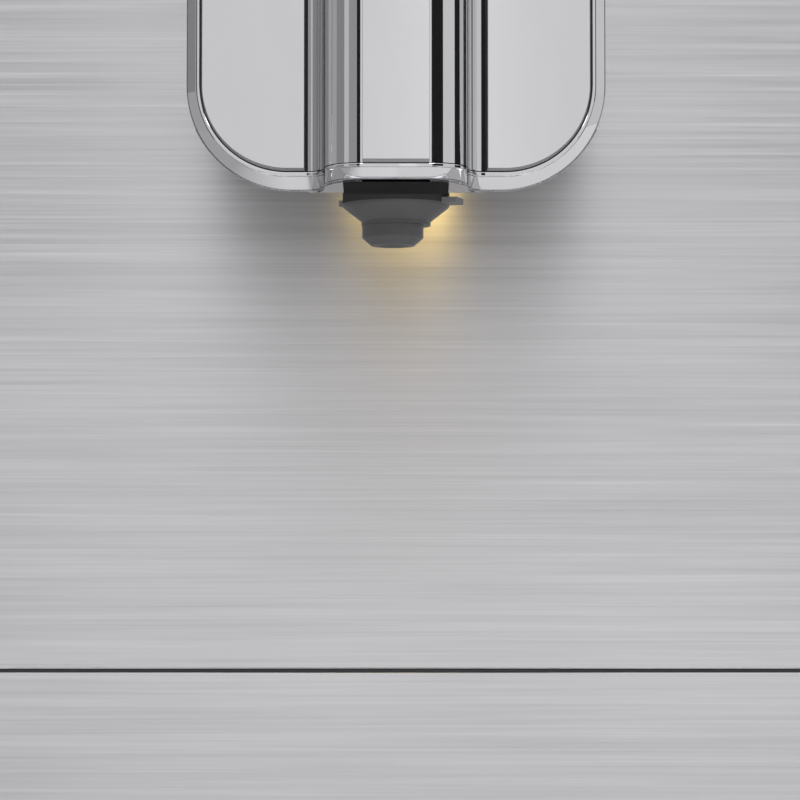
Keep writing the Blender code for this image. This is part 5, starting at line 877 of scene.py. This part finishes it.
def round_line(centre, radii, start, end):
    """An open arc, in degrees."""
    return (arc(centre, radii, radians(start), radians(end), ICON_STEPS), False)


def oval(radii):
    """A closed oval round the origin."""
    return (arc((0, 0), radii, 0, 2 * pi, ICON_STEPS)[:-1], True)


POWER_ICON = [round_line((0, -0.05), (0.8, 0.8), 120, 420), ([(0, 0.2), (0, 1.0)], False)]
BEAN_ICON = [oval((0.62, 0.95)), ([(0.1, 0.72), (-0.12, 0.25), (0.12, -0.25), (-0.1, -0.72)], False)]
CUP_ICON = [
    ([(-0.85, 0.5), (0.5, 0.5), (0.38, -0.3), (0.1, -0.6), (-0.45, -0.6), (-0.73, -0.3)], True),
    round_line((0.5, 0.12), (0.36, 0.28), 84, -96),
    ([(-0.95, -0.95), (0.65, -0.95)], False),
]
CUPS_ICON = moved(CUP_ICON, -0.55, 0, 0.62) + moved(CUP_ICON, 0.65, 0, 0.62)
DROP_BELLY = arc((0, -0.2), (0.6, 0.6), 5 * pi / 6, 13 * pi / 6, ICON_STEPS)
DROP_ICON = [([(0, 1.0), (-0.35, 0.3), *DROP_BELLY, (0.35, 0.3)], True)]
ICONS = {
    "button_power": POWER_ICON, "button_strength": BEAN_ICON, "button_one_cup": CUP_ICON,
    "button_two_cups": CUPS_ICON,
}


def button_icons():
    """The sign on each push button."""
    for name, lines in ICONS.items():
        shape = drawn(lines, ICON_SIZE, face_frame(name, FASCIA_OUT))
        made(name + "_icon", shape, name, "black_plastic", PRINT_DARK)


DISPLAY_CUP_SIZE = 0.0062
DISPLAY_BEAN_SIZE = 0.0030
DISPLAY_BEAN_PITCH = 0.0062
DISPLAY_SIDE = 0.030
DISPLAY_RISE = 0.0035
DISPLAY_BAR_HALF = 0.034
DISPLAY_BAR_HEIGHT = 0.0011
DISPLAY_BAR_DROP = 0.0085
DISPLAY_BAR_DONE_SHARE = 0.55


def display_signs():
    """What the display shows: a cup, the strength, a drop and how far the brewing is."""
    place = face_frame("display_window", FASCIA_OUT)
    lines = moved(CUP_ICON, -DISPLAY_SIDE, DISPLAY_RISE, DISPLAY_CUP_SIZE)
    for step in (-1, 0, 1):
        lines += moved(BEAN_ICON, step * DISPLAY_BEAN_PITCH, DISPLAY_RISE, DISPLAY_BEAN_SIZE)
    lines += moved(DROP_ICON, DISPLAY_SIDE, DISPLAY_RISE, DISPLAY_CUP_SIZE)
    low, high = -DISPLAY_BAR_DROP - DISPLAY_BAR_HEIGHT, -DISPLAY_BAR_DROP + DISPLAY_BAR_HEIGHT
    half = DISPLAY_BAR_HALF
    lines.append(([(-half, low), (half, low), (half, high), (-half, high)], True))
    reached = half * (2 * DISPLAY_BAR_DONE_SHARE - 1)
    done = ([(-half, -DISPLAY_BAR_DROP), (reached, -DISPLAY_BAR_DROP)], False)
    shape = gathered([drawn(lines, 1.0, place), drawn([done], 1.0, place, DISPLAY_BAR_HEIGHT)])
    made("display_signs", shape, "housing", "white_plastic", DISPLAY_LIT)


# Points along a rib and the gap after it
RIB_STEPS = 4


def ribbed(inner, outer, rib, count, low, high, place):
    """A sleeve with ribs all round, each as wide as the gap after it."""
    steps = RIB_STEPS * count
    angles = [2 * pi * i / steps for i in range(steps)]
    reach = [outer + (rib if i % RIB_STEPS < RIB_STEPS / 2 else 0) for i in range(steps)]
    rings = []
    for radii, height in (([inner] * steps, low), (reach, low), (reach, high), ([inner] * steps, high)):
        rings.append([(r * cos(a), r * sin(a), height) for r, a in zip(radii, angles)])
    shape = rings_joined(rings, True)
    shape.transform(place)
    return shape


# Heights on the knob are measured outward from its face, and on the dial upward from its top
KNOB_GRIP_INNER = 0.0148
KNOB_GRIP_OUTER = 0.0164
KNOB_RIB = 0.0004
KNOB_RIBS = 56
KNOB_GRIP_LOW = -0.0096
KNOB_GRIP_HIGH = -0.0022
KNOB_CAP_RADIUS = 0.0131
KNOB_CAP_EDGE = 0.0003
KNOB_CAP_HEIGHT = 0.0003
KNOB_POINTER = (0.0078, 0.0120)
KNOB_POINTER_LINE = 0.0011
KNOB_STEPS = 72
TICK_NEAR = 0.0192
TICK_FAR = 0.0210
TICK_LINE = 0.0006
TICK_COUNT = 9
TICK_SWEEP = 270


def selector_details():
    """The knob's ribbed grip, its satin cap and pointer, and the marks round it."""
    place = face_frame("selector_knob", FASCIA_OUT)
    grip = ribbed(
        KNOB_GRIP_INNER, KNOB_GRIP_OUTER, KNOB_RIB, KNOB_RIBS, KNOB_GRIP_LOW, KNOB_GRIP_HIGH, place
    )
    made("knob_grip", grip, "selector_knob", "rubber")
    edge = KNOB_CAP_RADIUS - KNOB_CAP_EDGE
    profile = [(0, PRINT_LOW), (KNOB_CAP_RADIUS, PRINT_LOW), (edge, KNOB_CAP_HEIGHT), (0, KNOB_CAP_HEIGHT)]
    cap = turned(profile, KNOB_STEPS, place)
    made("knob_cap", cap, "selector_knob", "satin_steel")
    raised = place @ Matrix.Translation((0, 0, KNOB_CAP_HEIGHT))
    pointer = drawn([([(0, radius) for radius in KNOB_POINTER], False)], 1.0, raised, KNOB_POINTER_LINE)
    made("knob_pointer", pointer, "selector_knob", "black_plastic", PRINT_DARK)
    lines = []
    for i in range(TICK_COUNT):
        turn = pi / 2 + radians(TICK_SWEEP) * (i / (TICK_COUNT - 1) - 1 / 2)
        mark = [(radius * cos(turn), radius * sin(turn)) for radius in (TICK_NEAR, TICK_FAR)]
        lines.append((mark, False))
    knob_low, knob_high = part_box("selector_knob")
    face = face_frame("control_fascia", FASCIA_OUT, UP, (knob_low + knob_high) / 2)
    made("selector_marks", drawn(lines, 1.0, face, TICK_LINE), "housing", "white_plastic", PRINT_WHITE)


def word(text, size, place):
    """A figure or plain word as a thin print."""
    curve = bpy.data.curves.new(text, "FONT")
    curve.body = text
    curve.size = size
    curve.align_x = "CENTER"
    curve.align_y = "CENTER"
    curve.extrude = PRINT_HIGH
    holder = bpy.data.objects.new(text, curve)
    mesh = bpy.data.meshes.new_from_object(holder)
    shape = bmesh.new()
    shape.from_mesh(mesh)
    shape.transform(place)
    bpy.data.objects.remove(holder)
    bpy.data.meshes.remove(mesh)
    return shape


DIAL_GRIP_INNER = 0.0120
DIAL_GRIP_OUTER = 0.0138
DIAL_RIB = 0.0004
DIAL_RIBS = 44
DIAL_GRIP_LOW = -0.0054
DIAL_GRIP_HIGH = -0.0014
DIAL_POINTER = (0.0050, 0.0112)
DIAL_POINTER_LINE = 0.0010
FIGURE_RADIUS = 0.0192
FIGURE_SIZE = 0.0042
FIGURES = {"1": 225, "2": 157.5, "3": 90, "4": 22.5, "5": -45}


def dial_details():
    """The grind dial's ribs and pointer, and the figures round it."""
    place = face_frame("grind_dial", UP, REARWARD)
    grip = ribbed(
        DIAL_GRIP_INNER, DIAL_GRIP_OUTER, DIAL_RIB, DIAL_RIBS, DIAL_GRIP_LOW, DIAL_GRIP_HIGH, place
    )
    made("dial_grip", grip, "grind_dial", "dark_grey_plastic")
    pointer = drawn([([(0, radius) for radius in DIAL_POINTER], False)], 1.0, place, DIAL_POINTER_LINE)
    made("dial_pointer", pointer, "grind_dial", "black_plastic", PRINT_DARK)
    dial_low, dial_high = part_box("grind_dial")
    deck = face_frame("top_deck", UP, REARWARD, (dial_low + dial_high) / 2)
    figures = []
    for text, degrees in FIGURES.items():
        turn = radians(degrees)
        spot = Matrix.Translation((FIGURE_RADIUS * cos(turn), FIGURE_RADIUS * sin(turn), 0))
        figures.append(word(text, FIGURE_SIZE, deck @ spot))
    made("dial_figures", gathered(figures), "housing", "white_plastic", PRINT_WHITE)


ROCKER_MARK_SIZE = 0.0016
ROCKER_FACING = 0.9
ROCKER_ICONS = ([([(0, -1), (0, 1)], False)], [oval((0.8, 1.0))])


def rocker_marks():
    """The line and the ring on the two halves of the mains rocker."""
    thing = nodes["power_switch"]
    turn = thing.matrix_world.to_3x3()
    halves = []
    for face in thing.data.polygons:
        outward = (turn @ face.normal).normalized()
        if outward.y > ROCKER_FACING:
            halves.append((thing.matrix_world @ face.center, outward))
    halves.sort(key=lambda half: half[0].x)
    marks = []
    for lines, group in zip(ROCKER_ICONS, (halves[: len(halves) // 2], halves[len(halves) // 2 :])):
        centre = sum((point for point, _ in group), Vector()) / len(group)
        marks.append(drawn(lines, ROCKER_MARK_SIZE, facing(centre, group[0][1])))
    made("rocker_marks", gathered(marks), "power_switch", "white_plastic", PRINT_WHITE)


RIDGE_HALF_WIDTH = 0.0006
RIDGE_HEIGHT = 0.0005
RIDGE_PITCH = 0.0022
RIDGE_INSET = 0.006
RIDGE_STEPS = 8
RIDGE_ROWS = 3
RIDGE_LENGTHS = {"hopper_lid": 0.036, "preground_lid": 0.018, "tank_lid": 0.036}
# Lays a prism's outline in Y and Z and its length along X
ALONG_X = Matrix(((0, 0, 1), (1, 0, 0), (0, 1, 0))).to_4x4()


def plate_top(name):
    """The height of a lid's plate, in the front half of its box."""
    thing = nodes[name]
    low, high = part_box(name)
    points = [thing.matrix_world @ vertex.co for vertex in thing.data.vertices]
    return max(point.z for point in points if point.y < (low.y + high.y) / 2)


def lid_ridges():
    """Ridges near each lid's front edge, for the finger that lifts it."""
    for name, length in RIDGE_LENGTHS.items():
        low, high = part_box(name)
        top = plate_top(name)
        section = arc((0, PRINT_LOW), (RIDGE_HALF_WIDTH, RIDGE_HEIGHT), 0, pi, RIDGE_STEPS)
        bars = []
        for row in range(RIDGE_ROWS):
            y = low.y + RIDGE_INSET + row * RIDGE_PITCH
            place = Matrix.Translation(((low.x + high.x) / 2, y, top))
            bars.append(prism(section, -length / 2, length / 2, place @ ALONG_X))
        made(name + "_ridges", gathered(bars), name, "black_plastic")


TANK_OUT = Vector((-1, 0, 0))
LEVEL_LINE_HALF = 0.012
LEVEL_LINE = 0.0007
LEVEL_SIZE = 0.006
LEVEL_LIFT = 0.005
LEVEL_SHARES = {"MAX": 0.96, "MIN": 0.12}


def tank_levels():
    """The marks of the highest and lowest water level on the tank's side."""
    place = face_frame("water_tank", TANK_OUT)
    low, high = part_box("water_tank")
    marks = []
    for text, share in LEVEL_SHARES.items():
        height = (high.z - low.z) * (share - 1 / 2)
        line = [([(-LEVEL_LINE_HALF, height), (LEVEL_LINE_HALF, height)], False)]
        marks.append(drawn(line, 1.0, place, LEVEL_LINE))
        marks.append(word(text, LEVEL_SIZE, place @ Matrix.Translation((0, height + LEVEL_LIFT, 0))))
    made("tank_levels", gathered(marks), "water_tank", "white_plastic", PRINT_WHITE)


SCREW_INSET = 0.008
SCREW_HEAD = 0.0030
SCREW_BEVEL = 0.0004
SCREW_DEPTH = 0.0014
SCREW_SUNK = 0.0002
SCREW_CLEARANCE = 0.0003
SCREW_CROSS_HALF = 0.0017
SCREW_CROSS_WIDTH = 0.0006
SCREW_CROSS_DEPTH = 0.0007
SCREW_STEPS = 40
SCREW_ROW_SHARES = (0, 0.5, 1)


def screw_places():
    """A frame on the rear cover over each of its screws."""
    low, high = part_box("rear_cover")
    places = []
    for x in (low.x + SCREW_INSET, high.x - SCREW_INSET):
        for share in SCREW_ROW_SHARES:
            z = low.z + SCREW_INSET + share * (high.z - low.z - 2 * SCREW_INSET)
            places.append(face_frame("rear_cover", REARWARD, UP, (x, high.y, z)))
    return places


def rear_screws():
    """The screws of the rear cover, sunk flush, each with a cross."""
    head = [
        (0, -SCREW_DEPTH), (SCREW_HEAD, -SCREW_DEPTH), (SCREW_HEAD, -SCREW_SUNK - SCREW_BEVEL),
        (SCREW_HEAD - SCREW_BEVEL, -SCREW_SUNK), (0, -SCREW_SUNK),
    ]
    sink_radius = SCREW_HEAD + SCREW_CLEARANCE
    sink = [(0, -SCREW_DEPTH), (sink_radius, -SCREW_DEPTH), (sink_radius, GAP), (0, GAP)]
    half = SCREW_CROSS_WIDTH / 2
    arm = [(-half, -SCREW_CROSS_HALF), (half, -SCREW_CROSS_HALF), (half, -half)]
    cross = []
    for x_way, y_way in ((1, 0), (0, 1), (-1, 0), (0, -1)):
        cross += [(x * x_way - y * y_way, x * y_way + y * x_way) for x, y in arm]
    heads, sinks, crosses = [], [], []
    for place in screw_places():
        heads.append(turned(head, SCREW_STEPS, place))
        sinks.append(turned(sink, SCREW_STEPS, place))
        crosses.append(prism(cross, -SCREW_SUNK - SCREW_CROSS_DEPTH, GAP, place))
    screws = made("rear_screws", gathered(heads), "housing", "bright_steel")
    cut_from(screws, gathered(crosses))
    cut_from(nodes["rear_cover"], gathered(sinks))


SEAM_SET_BACK = 0.0012
SEAM_STRIP_THICKNESS = 0.0008
SEAM_CLEARANCE = 0.0001


def seam_strip():
    """The dark strip that backs the seam between the two steel fronts."""
    panel_low, panel_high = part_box("front_panel")
    drawer_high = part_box("drawer_front")[1]
    start = panel_low.y + SEAM_SET_BACK
    shape = block(
        (panel_low.x + SEAM_SET_BACK, start, drawer_high.z + SEAM_CLEARANCE),
        (panel_high.x - SEAM_SET_BACK, start + SEAM_STRIP_THICKNESS, panel_low.z - SEAM_CLEARANCE),
    )
    made("seam_strip", shape, "housing", "dark_grey_plastic")


# Studio

CAMERA_LENS = 210.0
CAMERA_DISTANCE = 0.700
CAMERA_HEIGHT = 0.110
CAMERA_X = 0.0006
CAMERA_PITCH = radians(3.9)
SENSOR = 36.0


def camera():
    """The photograph's view: a long lens, close to the spout and a little below it."""
    data = bpy.data.cameras.new("camera")
    data.lens = CAMERA_LENS
    data.sensor_width = SENSOR
    thing = bpy.data.objects.new("camera", data)
    thing.location = (CAMERA_X, FACE_Y - CAMERA_DISTANCE, CAMERA_HEIGHT)
    thing.rotation_euler = (pi / 2 + CAMERA_PITCH, 0, 0)
    bpy.context.scene.collection.objects.link(thing)
    bpy.context.scene.camera = thing


FLOOR_HALF = 12.0
FLOOR_GREY = 0.80
FLOOR_ROUGHNESS = 0.6
FLOOR_SCALE = 3
# Each lamp's place, width and power
LAMPS = {
    "key_lamp": ((1.4, -2.2, 1.7), 1.4, 36.0),
    "fill_lamp": ((-1.1, -2.2, 2.0), 1.4, 24.0),
    "top_lamp": ((0.1, -0.1, 2.4), 1.8, 27.0),
    "left_rear_lamp": ((-1.3, 1.6, 2.3), 1.4, 24.0),
    "right_rear_lamp": ((1.5, 1.4, 2.3), 1.4, 24.0),
}
AIM = Vector((0, 0, 0.18))
WORLD_LIGHT = 0.76
WHITE = (1, 1, 1, 1)


def lamps():
    """Soft square lamps round the machine."""
    for name, (place, size, power) in LAMPS.items():
        data = bpy.data.lights.new(name, "AREA")
        data.shape = "SQUARE"
        data.size = size
        data.energy = power
        thing = bpy.data.objects.new(name, data)
        thing.location = place
        thing.rotation_mode = "QUATERNION"
        thing.rotation_quaternion = (AIM - Vector(place)).to_track_quat("-Z", "Y")
        bpy.context.scene.collection.objects.link(thing)


def world():
    """White where the camera, metal and glass see it, and a soft light on the rest."""
    sky = bpy.data.worlds.new("studio")
    sky.use_nodes = True
    tree = sky.node_tree
    tree.nodes.clear()
    rays = tree.nodes.new("ShaderNodeLightPath")
    seen = rays.outputs["Is Camera Ray"]
    for kind in ("Is Glossy Ray", "Is Transmission Ray"):
        more = tree.nodes.new("ShaderNodeMath")
        more.operation = "MAXIMUM"
        tree.links.new(seen, more.inputs[0])
        tree.links.new(rays.outputs[kind], more.inputs[1])
        seen = more.outputs["Value"]
    soft = tree.nodes.new("ShaderNodeBackground")
    soft.inputs["Color"].default_value = WHITE
    soft.inputs["Strength"].default_value = WORLD_LIGHT
    white = tree.nodes.new("ShaderNodeBackground")
    white.inputs["Color"].default_value = WHITE
    both = tree.nodes.new("ShaderNodeMixShader")
    end = tree.nodes.new("ShaderNodeOutputWorld")
    tree.links.new(seen, both.inputs["Fac"])
    tree.links.new(soft.outputs["Background"], both.inputs[1])
    tree.links.new(white.outputs["Background"], both.inputs[2])
    tree.links.new(both.outputs["Shader"], end.inputs["Surface"])
    bpy.context.scene.world = sky


def stage_piece(name, shape, paint):
    """A part of the studio, which isn't part of the machine."""
    thing = placed(name, shape)
    thing.data.materials.append(paint.material)
    return thing


def floor():
    """The plain pale floor."""
    shape = bmesh.new()
    bmesh.ops.create_grid(shape, x_segments=1, y_segments=1, size=FLOOR_HALF)
    paint = Paint("floor", [FLOOR_GREY] * 3, FLOOR_ROUGHNESS)
    paint.tint_from(paint.noise([FLOOR_SCALE] * 3), *SMEAR_TINT)
    stage_piece("floor", shape, paint)


# Cards that only bright metal sees: where each starts and ends in degrees from straight ahead to the right,
# how low and how high it reaches, and its brightness beside the white round them
CARD_DISTANCE = 0.9
CARD_FOOT = 0.01
CARD_LOW = 0.245
CARD_HIGH = 0.62
CARDS = {
    "card_right_near": (9, 47, CARD_LOW, CARD_HIGH, 0.0),
    "card_right_middle": (47, 91, CARD_LOW, CARD_HIGH, 0.70),
    "card_right_far": (91, 118, CARD_LOW, CARD_HIGH, 0.0),
    "card_left_near": (-18, -9, CARD_LOW, CARD_HIGH, 0.0),
    "card_left_second": (-47, -18, CARD_LOW, CARD_HIGH, 0.34),
    "card_left_middle": (-64, -47, CARD_LOW, CARD_HIGH, 0.60),
    "card_left_far": (-94, -64, CARD_LOW, CARD_HIGH, 0.27),
    "card_left_side": (-116, -94, CARD_LOW, CARD_HIGH, 0.42),
    "card_left_back": (-140, -116, CARD_FOOT, CARD_HIGH, 0.20),
    "card_front_left": (-9, 0.3, CARD_LOW, CARD_HIGH, 0.76),
    "card_front_right": (2.2, 9, CARD_LOW, CARD_HIGH, 0.76),
    "card_low_left": (-116, -18, CARD_FOOT, CARD_LOW, 0.42),
    "card_low_right": (18, 94, CARD_FOOT, CARD_LOW, 0.68),
}
# Cards on the floor, before the machine and at its sides: their ends in X, and their brightness at each end
FLOOR_CARD_HEIGHT = 0.001
FLOOR_CARD_WIDTH = 1.2
FLOOR_CARD_NEAR = -0.225
FLOOR_CARD_FAR = -1.6
FLOOR_CARD_BACK = 0.2
FLOOR_CARD_SIDE = 0.142
FLOOR_CARD_TURN = -0.19
FRONT_FLOOR_CARDS = {
    "card_floor_far_left": (-FLOOR_CARD_WIDTH, FLOOR_CARD_TURN, 0.42, 0.42),
    "card_floor_left": (FLOOR_CARD_TURN, 0, 0.42, 0.86),
    "card_floor_right": (0, FLOOR_CARD_WIDTH, 0.80, 0.80),
}
SIDE_FLOOR_CARDS = {
    "card_floor_left_side": (-FLOOR_CARD_WIDTH, -FLOOR_CARD_SIDE, 0.32, 0.32),
    "card_floor_right_side": (FLOOR_CARD_SIDE, FLOOR_CARD_WIDTH, 0.45, 0.45),
}


def card(name, corners, shade):
    """One card: it glows and only shows in bright metal."""
    shape = bmesh.new()
    shape.faces.new([shape.verts.new(corner) for corner in corners])
    paint = Paint(name, (0, 0, 0), 1.0, Emission_Color=WHITE, Emission_Strength=shade)
    thing = stage_piece(name, shape, paint)
    thing.visible_camera = False
    thing.visible_diffuse = False
    thing.visible_transmission = False
    thing.visible_shadow = False
    return paint


def upright_cards():
    """The cards round the spout, which give the chrome its stripes."""
    centre = Vector((0, FACE_Y, 0))
    for name, (start, end, low, high, shade) in CARDS.items():
        ways = [Vector((sin(radians(a)), -cos(radians(a)), 0)) for a in (start, end)]
        near, far = (centre + CARD_DISTANCE * way for way in ways)
        corners = [(near, low), (far, low), (far, high), (near, high)]
        card(name, [(point.x, point.y, z) for point, z in corners], shade)


def floor_cards(group, front, back):
    """A row of cards on the floor, each as bright at its two ends as the table says."""
    for name, (left, right, start, end) in group.items():
        corners = ((left, front), (right, front), (right, back), (left, back))
        paint = card(name, [(x, y, FLOOR_CARD_HEIGHT) for x, y in corners], start)
        paint.glow_along("Object", 0, (left, right), (start, end))


bpy.context.scene.view_settings.view_transform = "Standard"
shell_skin()
spout_underside()
# The lip lining is in the darker chrome, a painted dark reflection under the lip
bulge_underside("spout_lip_lining", PILASTER_EDGE, UNDERSIDE_THICKNESS / 2, "chrome", PAINTED_SHADE_CHROME)
# The recess over the nozzle is painted near-black as the shade under the spout's lip
bulge_underside("spout_recess_painted_shade", NOZZLE_RADIUS, UNDERSIDE_THICKNESS, "black_plastic", PAINTED_SHADE_BLACK)
inlay_skins()
pilaster_skin()
plate_skin()
nozzle_skin()
nozzle_lugs()
button_icons()
display_signs()
selector_details()
dial_details()
rocker_marks()
lid_ridges()
tank_levels()
rear_screws()
seam_strip()
finish_nodes()
camera()
lamps()
world()
floor()
upright_cards()
floor_cards(FRONT_FLOOR_CARDS, FLOOR_CARD_FAR, FLOOR_CARD_NEAR)
floor_cards(SIDE_FLOOR_CARDS, FLOOR_CARD_NEAR, FLOOR_CARD_BACK)
